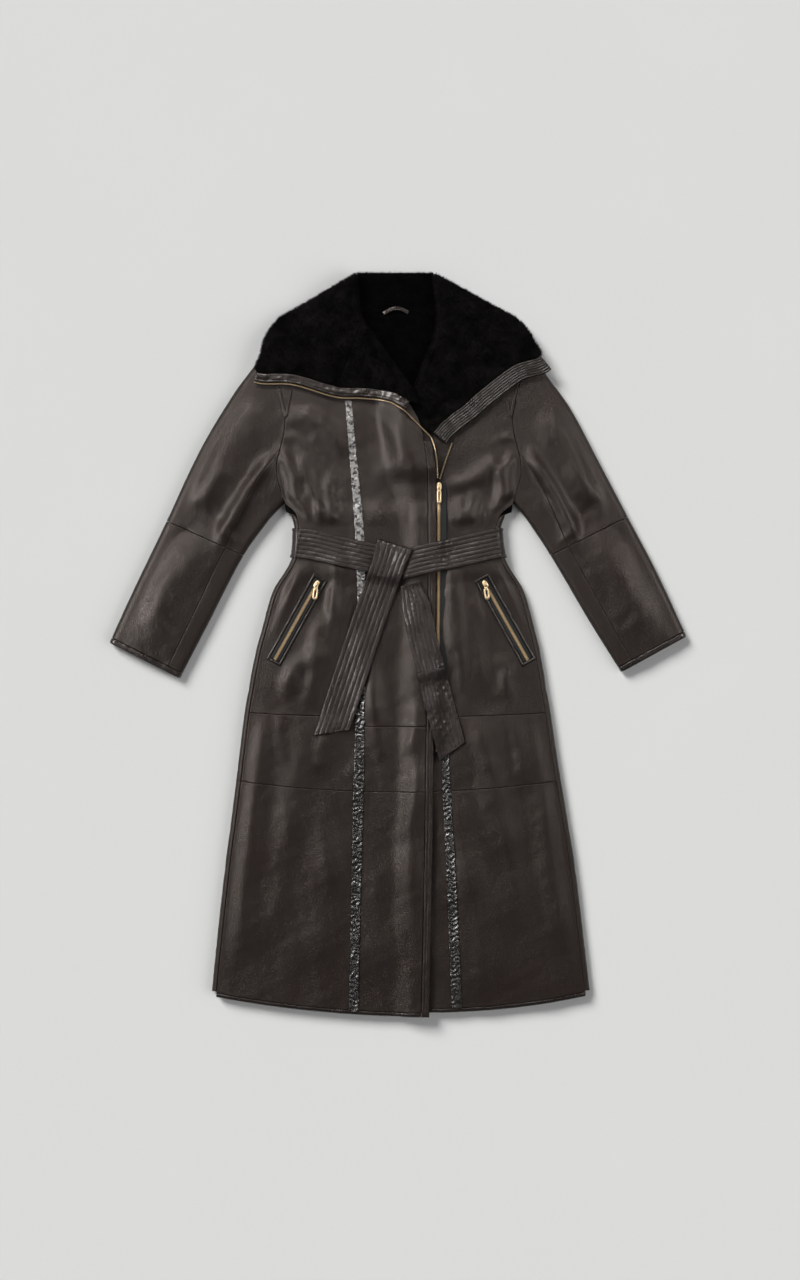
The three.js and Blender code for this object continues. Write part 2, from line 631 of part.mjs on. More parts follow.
// Back: two halves, each in two tiers, rolled round the side edges up to the side seams
function backHalf(side, lower, upper, rows) {
  const sign = side === "right" ? -1 : 1;
  const seam = side === "right" ? sideRight : sideLeft;
  const roll = 3;
  const outer = [];
  const inner = [];
  for (const v of rows) {
    const open = (y) => -sign * armholeBack(Math.max(y, ARMPIT_Y)) - (sign * CURVE_GAP) / 2;
    const rimAt = (y) => (y > ARMPIT_Y - SEAM_TURN ? open(y) + (side === "left" ? SIDE_SHIFT : 0) : seam(y));
    let edgeY = lerp(lower(0), upper(0), v);
    for (let pass = 0; pass < 3; pass++) {
      const x = rimAt(edgeY);
      edgeY = lerp(lower(x) + GAP / 2, upper(x) - GAP / 2, v);
    }
    const rim = rimAt(edgeY);
    const turn = 1 - share(edgeY, ARMPIT_Y - 24, ARMPIT_Y - 12);
    const middle = rim - sign * EDGE;
    const upRow = [];
    const downRow = [];
    for (const u of range(5)) {
      const x = lerp(CENTRE_BACK + (sign * GAP) / 2, middle, u);
      const y = u === 1 ? edgeY : lerp(lower(x) + GAP / 2, upper(x) - GAP / 2, v);
      upRow.push([x, y, beltLift(y)]);
      downRow.push([x, y, beltLift(y) + WALL]);
    }
    const [, y] = upRow[5];
    const lift = beltLift(y);
    for (const u of range(roll).slice(1)) {
      const angle = Math.PI * (u - 0.5);
      const [cos, sin] = [Math.cos(angle), Math.sin(angle)];
      const straight = middle + sign * EDGE * u;
      const curl = (radius, flatZ) => [
        lerp(straight, middle + sign * radius * cos, turn),
        y,
        lift + lerp(flatZ, EDGE + radius * sin, turn),
      ];
      upRow.push(curl(EDGE, 0));
      downRow.push(curl(EDGE - WALL, WALL));
    }
    outer.push(upRow);
    inner.push(downRow);
  }
  return wallBetween(outer, inner);
}
for (const side of ["right", "left"]) {
  const above = aboveHem(hemBack);
  add(`back_${side}_lower`, backHalf(side, above, seamLow, rowsBetween(-611, -250, 60)), LEATHER);
  add(`back_${side}_upper`, backHalf(side, seamLow, shoulderLine, rowsBetween(-250, 567.8)), LEATHER);
}

// Sleeves: flattened tubes of four pieces, parted at the elbow and along a front and a hind seam
for (const side of ["right", "left"]) {
  const { inner, outer, elbow } = SLEEVES[side];
  const sign = side === "right" ? -1 : 1;
  const shift = side === "right" ? 0 : SIDE_SHIFT;
  const innerX = track(inner, "y", "x");
  const outerX = track(outer, "y", "x");
  const cuff = { inner: inner[inner.length - 1].y, outer: outer[outer.length - 1].y };
  const start = { inner: ARMPIT_Y, outer: SHOULDER.y };
  const edges = (t) => {
    const from = t <= 1 ? start : elbow;
    const to = t <= 1 ? elbow : cuff;
    const part = t <= 1 ? t : t - 1;
    const iy = lerp(from.inner, to.inner, part);
    const oy = lerp(from.outer, to.outer, part);
    return [new THREE.Vector2(innerX(iy), iy), new THREE.Vector2(outerX(oy), oy)];
  };
  const plan = (t, u, curved = 1) => {
    const [from, to] = edges(t);
    const straight = edges(0);
    const onLine = lerp(straight[0].x, straight[1].x, u);
    const armhole = sign * -armholeRight(lerp(ARMPIT_Y, SHOULDER.y, u)) + shift;
    const bend = curved * (armhole - onLine) * (1 - Math.min(t, 1)) ** 2;
    const away = sign * (CURVE_GAP / 2 + GAP) * (1 - Math.min(t, 1));
    return [lerp(from.x, to.x, u) + bend + away, lerp(from.y, to.y, u)];
  };
  const seamAt = (t) => (t <= 1 ? lerp(SEAM_AT[0], SEAM_AT[1], t) : lerp(SEAM_AT[1], SEAM_AT[2], t - 1));

  // A point of the tube's wall: on its upper layer, round a rolled edge, or on its underside
  const above = (t, u, wide) => {
    const [x, y] = plan(t, u);
    const inset = Math.min(u, 1 - u) * wide - EDGE;
    const top = 2 * EDGE + (PUFF + relief(x, y) * (1 - share(y, 392, 425))) * share(inset, 0, SETTLE);
    return [[x, y, top], [x, y, top - WALL]];
  };
  const below = (t, u) => {
    const [x, y] = plan(t, u, 0);
    return [[x, y, 0], [x, y, WALL]];
  };
  const rolled = (t, u, wide, angle) => {
    const out = u > 0.5 ? 1 : -1;
    const at = (radius) => {
      const [x, y] = plan(t, u + (out * radius * Math.cos(angle)) / wide, 0);
      return [x, y, EDGE + radius * Math.sin(angle)];
    };
    return [at(EDGE), at(EDGE - WALL)];
  };
  const build = (half, piece) => {
    const [from, to] = edges(half + 0.5);
    const trim = GAP / 2 / from.distanceTo(to);
    const ends = half === 0 ? [0, 1 - trim] : [1 + trim, 2 - 0.045];
    const outerRows = [];
    const innerRows = [];
    for (const v of range(5)) {
      const t = lerp(ends[0], ends[1], v);
      const [a, b] = edges(t);
      const wide = a.distanceTo(b);
      const edge = EDGE / wide;
      const seam = seamAt(t);
      const gap = GAP / 2 / wide;
      const hind = 1 - HIND_SEAM / wide;
      const section = [];
      if (piece === "top") {
        for (const u of range(6)) section.push(above(t, lerp(seam + gap, 1 - edge, u), wide));
        for (const u of range(3).slice(1)) section.push(rolled(t, 1 - edge, wide, Math.PI * (0.5 - u)));
        section.push(below(t, hind + gap));
      } else {
        for (const u of range(4)) section.push(below(t, lerp(hind - gap, edge, u)));
        for (const u of range(3).slice(1)) section.push(rolled(t, edge, wide, Math.PI * (u - 0.5)));
        for (const u of range(4).slice(1)) section.push(above(t, lerp(edge, seam - gap, u), wide));
      }
      outerRows.push(section.map((pair) => pair[0]));
      innerRows.push(section.map((pair) => pair[1]));
    }
    return wallBetween(outerRows, innerRows);
  };
  for (const piece of ["top", "under"]) {
    add(`sleeve_${side}_${piece}_upper`, build(0, piece), LEATHER);
    add(`sleeve_${side}_${piece}_lower`, build(1, piece), LEATHER);
  }

  // The cuff's binding: a ring that carries the tube on to its end
  const ringOuter = [];
  const ringInner = [];
  const section = (t) => {
    const [a, b] = edges(t);
    const wide = a.distanceTo(b);
    const edge = EDGE / wide;
    const loop = [];
    for (const u of range(8)) loop.push(above(t, lerp(edge, 1 - edge, u), wide));
    for (const u of range(4).slice(1)) loop.push(rolled(t, 1 - edge, wide, Math.PI * (0.5 - u)));
    for (const u of range(5).slice(1)) loop.push(below(t, lerp(1 - edge, edge, u)));
    for (const u of range(4).slice(1, -1)) loop.push(rolled(t, edge, wide, Math.PI * (u - 0.5)));
    return loop;
  };
  const first = section(2 - 0.043);
  const last = section(2);
  for (let k = 0; k < first.length; k++) {
    ringOuter.push([first[k][0], last[k][0]]);
    ringInner.push([first[k][1], last[k][1]]);
  }
  add(`cuff_${side}`, wallBetween(ringOuter, ringInner, true), LEATHER);
}

// Collar: a back piece, and on each side a wing that rolls over and goes on as a lapel
function wingRow(rows, at) {
  const last = rows.length - 1;
  const curve = (key) => {
    const points = rows.map((row, k) => ({ k, value: row[key] }));
    return track(points, "k", "value")(clamp(at, 0, last));
  };
  const roll = new THREE.Vector2(curve("rollX"), curve("rollY"));
  const free = new THREE.Vector2(curve("freeX"), curve("freeY"));
  const whole = Math.floor(Math.min(at, last - 0.001));
  const low = lerp(rows[whole].low, rows[whole + 1].low, at - whole);
  return { roll, free, low };
}
function wing(rows, top, from, to) {
  const outer = [];
  const inner = [];
  const ends = [from === 0 ? from : from + 0.008, to === rows.length - 1 ? to : to - 0.008];
  for (const v of range(2 * (to - from))) {
    const at = lerp(from, to, v);
    const { roll, free, low } = wingRow(rows, clamp(at, ends[0], ends[1]));
    const long = roll.distanceTo(free);
    const along = free.clone().sub(roll).normalize();
    const spot = (s) => [roll.x + along.x * s, roll.y + along.y * s];
    const [cx, cy] = spot(EDGE);
    const crest = top(cx, cy);
    const upRow = [];
    const downRow = [];
    for (const h of [0, 0.5]) {
      const z = lerp(low, crest - EDGE, h);
      upRow.push([...spot(0), z]);
      downRow.push([...spot(WALL), z]);
    }
    for (const h of range(3)) {
      const angle = (Math.PI / 2) * (1 - h);
      const at = (radius) => {
        const [x, y] = spot(EDGE - radius * Math.sin(angle));
        return [x, y, crest - EDGE + radius * Math.cos(angle)];
      };
      upRow.push(at(EDGE));
      downRow.push(at(EDGE - WALL));
    }
    for (const u of range(5).slice(1)) {
      const s = lerp(EDGE, Math.max(long, EDGE + 2), u);
      const [x, y] = spot(s);
      upRow.push([x, y, top(x, y)]);
      downRow.push([x, y, top(x, y) - WALL]);
    }
    outer.push(upRow);
    inner.push(downRow);
  }
  return wallBetween(outer, inner);
}
// The strip that follows a wing's free edge, from its corner to the lapel's end
function edgeStations(rows, from, wide) {
  const last = rows.length - 1;
  const point = (at) => wingRow(rows, at).free;
  return range(2 * (last - from)).map((t) => {
    const at = lerp(from, last, t);
    const ahead = point(Math.min(at + 0.05, last)).clone().sub(point(Math.max(at - 0.05, from)));
    const square = new THREE.Vector2(ahead.y, -ahead.x).normalize();
    if (square.y > 0) square.negate();
    const edge = point(at);
    const [near, far] = [LAID, LAID + wide];
    return {
      innerX: edge.x + square.x * near,
      innerY: edge.y + square.y * near,
      outerX: edge.x + square.x * far,
      outerY: edge.y + square.y * far,
    };
  });
}
const collarRoll = { right: track(WING_RIGHT, "rollY", "rollX"), left: track(WING_LEFT, "rollY", "rollX") };
const collarBack = panel({
  left: (y) => collarRoll.right(y) + GAP,
  right: (y) => collarRoll.left(y) - GAP,
  lower: () => NECK.y,
  upper: () => COLLAR_TOP,
  top: () => WALL,
  rows: range(6),
  columns: 6,
});
add("collar_back", collarBack, FUR);
const wingRows = { right: WING_RIGHT, left: WING_LEFT };
for (const side of ["right", "left"]) {
  const rows = wingRows[side];
  add(`collar_wing_${side}`, wing(rows, wingTop[side], 0, LAPEL_FROM), FUR);
  add(`lapel_${side}`, wing(rows, wingTop[side], LAPEL_FROM, rows.length - 1), FUR);
}
const underWing = (side) => (x, y) => wingTop[side](x, y) - WALL;
const bindingStations = edgeStations(WING_RIGHT, BOUND_FROM, BINDING_WIDE);
const bandStations = edgeStations(WING_LEFT, BOUND_FROM, BAND_WIDE);
add("binding_right", strip(bindingStations, underWing("right"), flat(WALL + 0.8), 0), LEATHER);
add("band_left", strip(bandStations, underWing("left"), flat(WALL + 0.8), 0), LEATHER);

// Open zip: the halves that run up from the slider along the right wing's edge and the left front
const HALF_LEFT = [
  { x: 72, y: 286 },
  { x: 81, y: 313 },
  { x: 90.9, y: 340.3 },
];
const HALF_WIDE = 3.4;
const HALF_THICK = 2.6;
const halfTeeth = [
  { at: 0, high: HALF_THICK },
  { at: 0.55, high: HALF_THICK },
  { at: 0.56, high: ZIP.tape },
  { at: 1, high: ZIP.tape },
];
add("zip_half_left", strip(alongLine(HALF_LEFT, 5.4, 8), onLeft, halfTeeth, LAID), BRASS);
const besideBinding = bindingStations.map(({ innerX, innerY, outerX, outerY }) => {
  const out = new THREE.Vector2(outerX - innerX, outerY - innerY).normalize();
  const far = LAID + HALF_WIDE;
  return {
    near: [outerX + out.x * LAID, outerY + out.y * LAID],
    far: [outerX + out.x * far, outerY + out.y * far],
    level: wingTop.right(outerX, outerY) - 5,
  };
});
const besideFront = [350, 338, 325, 310, 295, 281].map((y) => ({
  near: [frontEdge(y) + LAID + HALF_WIDE, y],
  far: [frontEdge(y) + LAID, y],
  level: rightTop(frontEdge(y), y) + lerp(-5, 2, share(y, 325, 350)),
}));
const halfRight = (high) =>
  [...besideBinding, ...besideFront].map(({ near, far, level }) => [
    [...near, level + high],
    [...far, level + high],
  ]);
add("zip_half_right", wallBetween(halfRight(HALF_THICK), halfRight(0)), BRASS);

// Closed zip on the left front's edge: a chain on its tape, with a stop at its lower end
const chainShare = ZIP.chain / 17;
const zipHeights = [
  { at: 0, high: ZIP.teeth },
  { at: chainShare, high: ZIP.teeth },
  { at: chainShare + 0.01, high: ZIP.tape },
  { at: 1, high: ZIP.tape },
];
const zipStations = range(44).map((t) => {
  const y = lerp(274, -170, t);
  const x = Math.max(frontEdge(y), 63.6) + 1.4;
  return { innerX: x, innerY: y, outerX: x + 17, outerY: y };
});
add("zip_main", strip(zipStations, onLeft, zipHeights, LAID), BRASS);
const stopStations = range(1).map((t) => {
  const y = lerp(-171, -182, t);
  return { innerX: 63.8, innerY: y, outerX: 70.6, outerY: y };
});
add("zip_stop", strip(stopStations, onLeft, flat(3.4), LAID), BRASS);

// Belt: a band round the back and both sides, two stretches over the front, and two hanging ends
const beltRows = range(3).map((t) => BELT_Y + BELT_WIDE * (t - 0.5));
const beltOuter = [];
const beltInner = [];
for (const y of beltRows) {
  const level = EDGE + LAID + BELT_THICK;
  const row = (radius) => {
    const bend = (x, start) =>
      range(6).map((u) => {
        const angle = Math.PI * (start + u);
        return [x + radius * Math.cos(angle), y, level + radius * Math.sin(angle)];
      });
    return [...bend(sideRight(y) + EDGE, 0.5), ...bend(sideLeft(y) - EDGE, -0.5)];
  };
  beltOuter.push(row(level));
  beltInner.push(row(EDGE + LAID));
}
add("belt_back", wallBetween(beltOuter, beltInner), LEATHER);
const acrossRight = [{ x: sideRight(BELT_Y) + EDGE + 2.4, y: 171.8 }, ...BELT_RIGHT.slice(1)];
const acrossLeft = [{ x: sideLeft(BELT_Y) - EDGE - 2.4, y: 171.6 }, ...BELT_LEFT.slice(1)];
const onTrims = levelOver(["seam_tape_right", "seam_tape_left", "zip_main", "zip_stop"], 12);
const onFronts = (x, y) => Math.max(onTrims(x, y), onRightWide(x, y), onLeftWide(x, y));
const beltFlat = flat(BELT_THICK, 4);
add("belt_right", strip(alongLine(acrossRight, BELT_WIDE, 18), onFronts, beltFlat, LAID), LEATHER);
add("belt_left", strip(alongLine(acrossLeft, BELT_WIDE, 18), onFronts, beltFlat, LAID), LEATHER);
const onBelt = levelOver(["belt_right", "belt_left"], 11);
const onFacing = levelOver(["facing_right"], 14);
const onAll = (x, y) => Math.max(onBelt(x, y), onFronts(x, y), onFacing(x, y));
const wideRight = (t) => lerp(62, 56, share(t, 0, 0.1));
const endRight = alongLine(END_RIGHT, wideRight, 26, { start: 0, end: TIP_SLANT.right });
add("belt_end_right", strip(endRight, onAll, flat(BELT_THICK, 3), 2 * LAID), LEATHER);
const endLeft = alongLine(END_LEFT, (t) => lerp(34, 48, share(t, 0, 0.28)), 14);
add("belt_end_left", strip(endLeft, onAll, flat(BELT_THICK, 3), LAID), LEATHER);
const overEnd = levelOver(["belt_end_left"], 12);
const onTip = (x, y) => Math.max(overEnd(x, y), onAll(x, y));
const tipLeft = alongLine(TIP_LEFT, (t) => lerp(49, 50, t), 14, { start: 0, end: TIP_SLANT.left });
add("belt_tip_left", strip(tipLeft, onTip, flat(BELT_THICK, 3), 2 * LAID), LEATHER);

// Sliders and pulls

// A box as a solid that joins to others: its sizes, then its middle
function block(wide, long, high, x, y, z) {
  const box = new THREE.BoxGeometry(wide, long, high).translate(x, y, z);
  box.deleteAttribute("normal");
  box.deleteAttribute("uv");
  const shape = mergeVertices(box);
  const mesh = new manifold.Mesh({
    numProp: 3,
    vertProperties: shape.attributes.position.array,
    triVerts: Uint32Array.from(shape.index.array),
  });
  return new manifold.Manifold(mesh);
}

// A plate under a bridge that stands on two feet; skew turns the plate along the chain, in degrees.
function sliderParts(skew) {
  const { wide, long, thick, arch, foot, bridge, beam, sunk } = SLIDER;
  const bottom = -AXLE / 2 - AXLE_GAP - thick;
  const roof = AXLE / 2 + AXLE_GAP + beam;
  const post = roof - bottom - sunk;
  const middle = bottom + sunk + post / 2;
  const pieces = [
    block(wide, long, thick, 0, 0, bottom + thick / 2).rotate([0, 0, skew]),
    block(bridge, foot, post, 0, arch - foot / 2, middle),
    block(bridge, foot, post, 0, -arch + foot / 2, middle),
    block(bridge, 2 * arch, beam, 0, 0, roof - beam / 2),
  ];
  const mesh = manifold.Manifold.union(pieces).getMesh();
  const places = new THREE.BufferAttribute(Float32Array.from(mesh.vertProperties), mesh.numProp);
  const geometry = new THREE.BufferGeometry().setAttribute("position", places);
  geometry.setIndex([...mesh.triVerts]);
  return geometry;
}

// A plate with an eye at the axle and a rounded tab, leaning down a little
function pullShape({ long, tab, eye }) {
  const [half, wide, bar] = [eye / 2, tab / 2, AXLE / 2];
  const rim = half - EYE.rim;
  const shape = new THREE.Shape();
  shape.moveTo(-half, bar);
  shape.lineTo(half, bar);
  shape.lineTo(half, -EYE.long);
  shape.lineTo(wide, -EYE.tab);
  shape.lineTo(wide, -long + wide);
  shape.absarc(0, -long + wide, wide, 0, -Math.PI, true);
  shape.lineTo(-wide, -EYE.tab);
  shape.lineTo(-half, -EYE.long);
  shape.closePath();
  const hole = new THREE.Path();
  hole.moveTo(-rim, -bar);
  hole.lineTo(-rim, -EYE.hole);
  hole.lineTo(rim, -EYE.hole);
  hole.lineTo(rim, -bar);
  hole.closePath();
  shape.holes.push(hole);
  const geometry = new THREE.ExtrudeGeometry(shape, { depth: AXLE, bevelEnabled: false, curveSegments: 6 });
  return geometry.translate(0, 0, -AXLE / 2).rotateX(PULL_TILT);
}
function zipHead(name, size, at, level, angle) {
  const turn = angle + Math.PI / 2;
  const axle = [at.x, at.y, level + AXLE_UP];
  const skew = THREE.MathUtils.radToDeg((at.turn ?? turn) - turn);
  add(`slider_${name}`, sliderParts(skew).rotateZ(turn).translate(...axle), BRASS);
  add(`pull_${name}`, pullShape(size).rotateZ(turn).translate(...axle), BRASS);
}
const chainTop = levelOver(["zip_main"], 2);
zipHead("main", PULLS.main, MAIN_SLIDER, chainTop(MAIN_SLIDER.x, MAIN_SLIDER.y - 2), -Math.PI / 2);

// Pockets: a welt round a zip, with its slider and pull
for (const side of ["right", "left"]) {
  const { x0, y0, x1, y1, pull } = POCKETS[side];
  const from = new THREE.Vector2(x0, y0);
  const to = new THREE.Vector2(x1, y1);
  const along = to.clone().sub(from).normalize();
  const square = new THREE.Vector2(-along.y, along.x);
  const level = side === "right" ? onRight : onLeft;
  const long = from.distanceTo(to);
  const half = WELT.wide / 2;
  const corner = (inset) => [
    [inset, -half + inset],
    [long - inset, -half + inset],
    [long - inset, half - inset],
    [inset, half - inset],
  ];
  const loop = (inset, lift) =>
    corner(inset).flatMap(([a, b], k, all) => {
      const [c, d] = all[(k + 1) % 4];
      const steps = k % 2 === 0 ? 8 : 2;
      return range(steps)
        .slice(0, -1)
        .map((t) => {
          const [s, w] = [lerp(a, c, t), lerp(b, d, t)];
          const x = x0 + along.x * s + square.x * w;
          const y = y0 + along.y * s + square.y * w;
          return [x, y, level(x, y) + LAID + lift];
        });
    });
  const rim = (lift) => {
    const [outside, inside] = [loop(0, lift), loop(WELT.border, lift)];
    return outside.map((point, k) => [point, inside[k]]);
  };
  add(`pocket_welt_${side}`, wallBetween(rim(WELT.thick), rim(0), true), LEATHER);
  const zipLong = long - 2 * WELT.border - 1.4;
  const zipWide = WELT.wide - 2 * WELT.border - 1.4;
  const centre = [0, 1].map((t) => {
    const s = lerp(WELT.border + 0.7, WELT.border + 0.7 + zipLong, t);
    return { x: x0 + along.x * s, y: y0 + along.y * s };
  });
  const edge = (1 - ZIP.chain / zipWide) / 2;
  const zip = alongLine(centre, zipWide, 10);
  const heights = [
    { at: 0, high: ZIP.tape },
    { at: edge - 0.01, high: ZIP.tape },
    { at: edge, high: ZIP.teeth },
    { at: 1 - edge, high: ZIP.teeth },
    { at: 1 - edge + 0.01, high: ZIP.tape },
    { at: 1, high: ZIP.tape },
  ];
  add(`pocket_zip_${side}`, strip(zip, level, heights, LAID), BRASS);
  const chain = levelOver([`pocket_zip_${side}`], 6);
  const at = { x: x0 + along.x * WELT.slider, y: y0 + along.y * WELT.slider };
  at.turn = Math.atan2(along.y, along.x) + Math.PI / 2;
  zipHead(`pocket_${side}`, PULLS.pocket, at, chain(at.x, at.y) + GAP, pull);
}

// Shoulder strips: two narrow strips on each front that meet in a point below the collar
const SHOULDER_STRIPS = [
  { innerX: -199, innerY: 434, outerX: -203.5, outerY: 434 },
  { innerX: -190.5, innerY: 397, outerX: -194, outerY: 388 },
  { innerX: -190, innerY: 396, outerX: -191, outerY: 383 },
  { innerX: -189, innerY: 396, outerX: -187.5, outerY: 387 },
  { innerX: -184, innerY: 430, outerX: -179.5, outerY: 430 },
];
for (const side of ["right", "left"]) {
  const mirror = side === "right" ? 1 : -1;
  const shift = side === "right" ? 0 : SIDE_SHIFT - 3;
  const stations = SHOULDER_STRIPS.map((row) => ({
    ...row,
    innerX: mirror * row.innerX + shift,
    outerX: mirror * row.outerX + shift,
    innerY: Math.min(row.innerY, side === "right" ? 434 : 412),
    outerY: Math.min(row.outerY, side === "right" ? 434 : 412),
  }));
  const names = side === "right" ? rightNames : leftNames;
  const sleeve = ["top", "under"].map((piece) => `sleeve_${side}_${piece}_upper`);
  const level = levelOver([...names, ...sleeve], 4);
  add(`shoulder_strip_${side}`, strip(stations, level, flat(TAPE_THICK, 1), LAID), LEATHER);
}

// Hanger loop at the neck seam
const HANGER = [
  { x: -25.5, y: 561 },
  { x: -14, y: 567 },
  { x: -3, y: 569.5 },
  { x: 8, y: 567.5 },
  { x: 18, y: 562 },
];
add("hanger_loop", strip(alongLine(HANGER, 7, 10), () => WALL, flat(2.4), GAP), LEATHER);

export default coat;
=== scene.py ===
"""Dresses a long shearling coat that lies flat on its back, front up, collar turned out, belt tied.

X runs to the wearer's left, Y towards the collar, Z up from the surface. Shapes are worked out in
millimetres, as functions of two parameters on a grid, and become meshes in metres. "right" and "left"
in the names are the wearer's.
"""

import json
import logging
import math
from dataclasses import dataclass, field
from enum import Enum
from typing import Callable, Sequence

import bpy
import numpy as np
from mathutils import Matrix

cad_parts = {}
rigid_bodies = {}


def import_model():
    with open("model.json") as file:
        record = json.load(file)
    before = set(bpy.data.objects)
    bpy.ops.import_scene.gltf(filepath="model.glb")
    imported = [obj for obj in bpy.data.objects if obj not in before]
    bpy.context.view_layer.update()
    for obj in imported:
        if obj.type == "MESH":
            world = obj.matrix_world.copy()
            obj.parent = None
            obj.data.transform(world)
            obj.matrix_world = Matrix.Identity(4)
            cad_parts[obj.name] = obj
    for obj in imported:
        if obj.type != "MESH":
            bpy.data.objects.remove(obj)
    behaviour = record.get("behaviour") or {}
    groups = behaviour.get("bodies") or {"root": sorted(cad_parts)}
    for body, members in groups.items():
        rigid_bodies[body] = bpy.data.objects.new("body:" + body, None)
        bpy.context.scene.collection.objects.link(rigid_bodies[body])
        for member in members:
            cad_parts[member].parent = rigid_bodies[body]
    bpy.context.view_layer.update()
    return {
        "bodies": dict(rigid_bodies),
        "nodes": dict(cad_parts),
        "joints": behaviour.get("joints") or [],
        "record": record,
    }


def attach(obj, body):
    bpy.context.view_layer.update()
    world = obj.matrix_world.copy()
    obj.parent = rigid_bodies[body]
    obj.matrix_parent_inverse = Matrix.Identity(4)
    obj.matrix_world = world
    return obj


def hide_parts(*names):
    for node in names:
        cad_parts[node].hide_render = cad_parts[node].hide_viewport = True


LOG = logging.getLogger("coat")
Array = np.ndarray
Line = Callable[[Array], Array]
Field = Callable[[Array, Array], Array]
Colour = tuple[float, float, float]

MM = 0.001
BODY = "coat"
# Sizes in millimetres
WALL = 8.0
GAP = 0.08
EDGE = 9.0
PUFF = 1.6
SETTLE = 30.0
STEP_UP = WALL + 0.95
WING_LIFT = 1.2
BELT_WIDE = 50.0
BELT_THICK = 3.5
BELT_Y = 172.0
BELT_LIFT = 4.2
CENTRE_BACK = 3.0
SIDE_SHIFT = 3.0
ARMPIT_Y = 239.7
COLLAR_TOP = 631.0
FACING_WIDE = 14.0
HEM_WIDE = 7.0
SHOULDER = (221.0, 503.0)
NECK = (67.0, 567.8)
WING_LEVEL = 2 * EDGE + PUFF + STEP_UP + WING_LIFT
BOUND_RISE = 0.9
REST_GAP = 0.9
THREAD_RISE = np.array([0, 0, 0.25])
SHALLOW_THREAD_RISE = np.array([0, 0, 0.2])


class Side(Enum):
    """A side of the coat, as its wearer would name it. The value is the sign of X there."""

    RIGHT = -1
    LEFT = 1

    @property
    def word(self) -> str:
        """The side's name as node names hold it."""
        return self.name.lower()


def lerp(a: Array, b: Array, t: Array) -> Array:
    """a at t 0 and b at t 1, in a straight line between them."""
    return a + (b - a) * t


def smooth(value: Array, low: float, high: float) -> Array:
    """0 below low, 1 above high, and a cubic S between: 3 t squared less 2 t cubed."""
    t = np.clip((np.asarray(value, float) - low) / (high - low), 0.0, 1.0)
    return t * t * (3 - 2 * t)


def track(at: Sequence[float], out: Sequence[float]) -> Line:
    """A smooth curve through one column of a table, read at a value of another column.

    Cubic Hermite pieces, with each row's slope taken from the rows on both sides of it.

    Args:
        at: the column that is read, rising or falling.
        out: the column that is given back.

    Returns:
        A function of an array of values.
    """
    xs, ys = np.asarray(at, float), np.asarray(out, float)
    if xs[0] > xs[-1]:
        xs, ys = xs[::-1], ys[::-1]
    before = np.concatenate([[0], np.arange(len(xs) - 1)])
    after = np.concatenate([np.arange(1, len(xs)), [len(xs) - 1]])
    slope = (ys[after] - ys[before]) / (xs[after] - xs[before])

    def read(value: Array) -> Array:
        value = np.clip(np.asarray(value, float), xs[0], xs[-1])
        k = np.clip(np.searchsorted(xs, value, side="right") - 1, 0, len(xs) - 2)
        span = xs[k + 1] - xs[k]
        t = (value - xs[k]) / span
        return (
            (2 * t**3 - 3 * t**2 + 1) * ys[k]
            + (t**3 - 2 * t**2 + t) * span * slope[k]
            + (3 * t**2 - 2 * t**3) * ys[k + 1]
            + (t**3 - t**2) * span * slope[k + 1]
        )

    return read


def columns(rows: Sequence[Sequence[float]]) -> list[Array]:
    """The columns of a table of rows."""
    return list(np.asarray(rows, float).T)


# y, x of the right side, x of the left side
SIDES = (
    (239.7, -191.8, 196.9),
    (199.9, -180.4, 179.5),
    (168.3, -180.2, 180.2),
    (147.9, -183.6, 185.2),
    (117.3, -198.9, 200.6),
    (83.3, -215.2, 216.4),
    (32.3, -229.5, 230.5),
    (-17, -242.6, 242.3),
    (-78.2, -254.2, 252.6),
    (-117.3, -260.8, 259.4),
    (-180.2, -268.6, 268.6),
    (-277.1, -280.5, 284.4),
    (-367.2, -292.4, 299.2),
    (-503.2, -307.7, 316),
    (-596.2, -316.9, 326.7),
)
# y, x of the right armhole seam
ARMHOLE = (
    (239.7, -191.8),
    (261.8, -198.9),
    (287.3, -204.9),
    (309.4, -204.5),
    (331.5, -199.5),
    (350.2, -194.8),
    (370.6, -191.6),
    (389.3, -191.6),
    (409.7, -195.5),
    (440.3, -201.5),
    (470.9, -211.7),
    (503, -221),
)
# y, x of the right front's bound edge
FRONT_EDGE = (
    (352, 52),
    (330, 59.5),
    (300, 63.5),
    (200, 64.5),
    (0, 63.5),
    (-180, 61),
    (-367, 58.5),
    (-631, 53),
)
# y, x of the right and left inner edges behind the roll of the lapels
FRONT_NECK = (
    (300, 49.2, 46),
    (330, 46, 44),
    (352, 41.5, 38),
    (380, 36, 29),
    (404, 24.5, 28.8),
    (432, 12.8, 37),
    (449, 1, 44.5),
    (471, -16, 53.5),
    (493, -31.2, 61.5),
    (515, -45.4, 70.5),
    (547, -68.5, 76.2),
    (568, -76, 76.2),
)
# y, x of the centre, width of the shiny tapes
TAPE_RIGHT = (
    (413, -84, 10.5),
    (330, -77, 12),
    (177, -64.5, 15),
    (30, -61.5, 14),
    (-130, -64.5, 16),
    (-250, -67, 18),
    (-400, -70.5, 17),
    (-622, -75, 16),
)
TAPE_LEFT = ((-176, 80.6, 12), (-250, 82.7, 14), (-367, 89, 16), (-617, 100, 18))


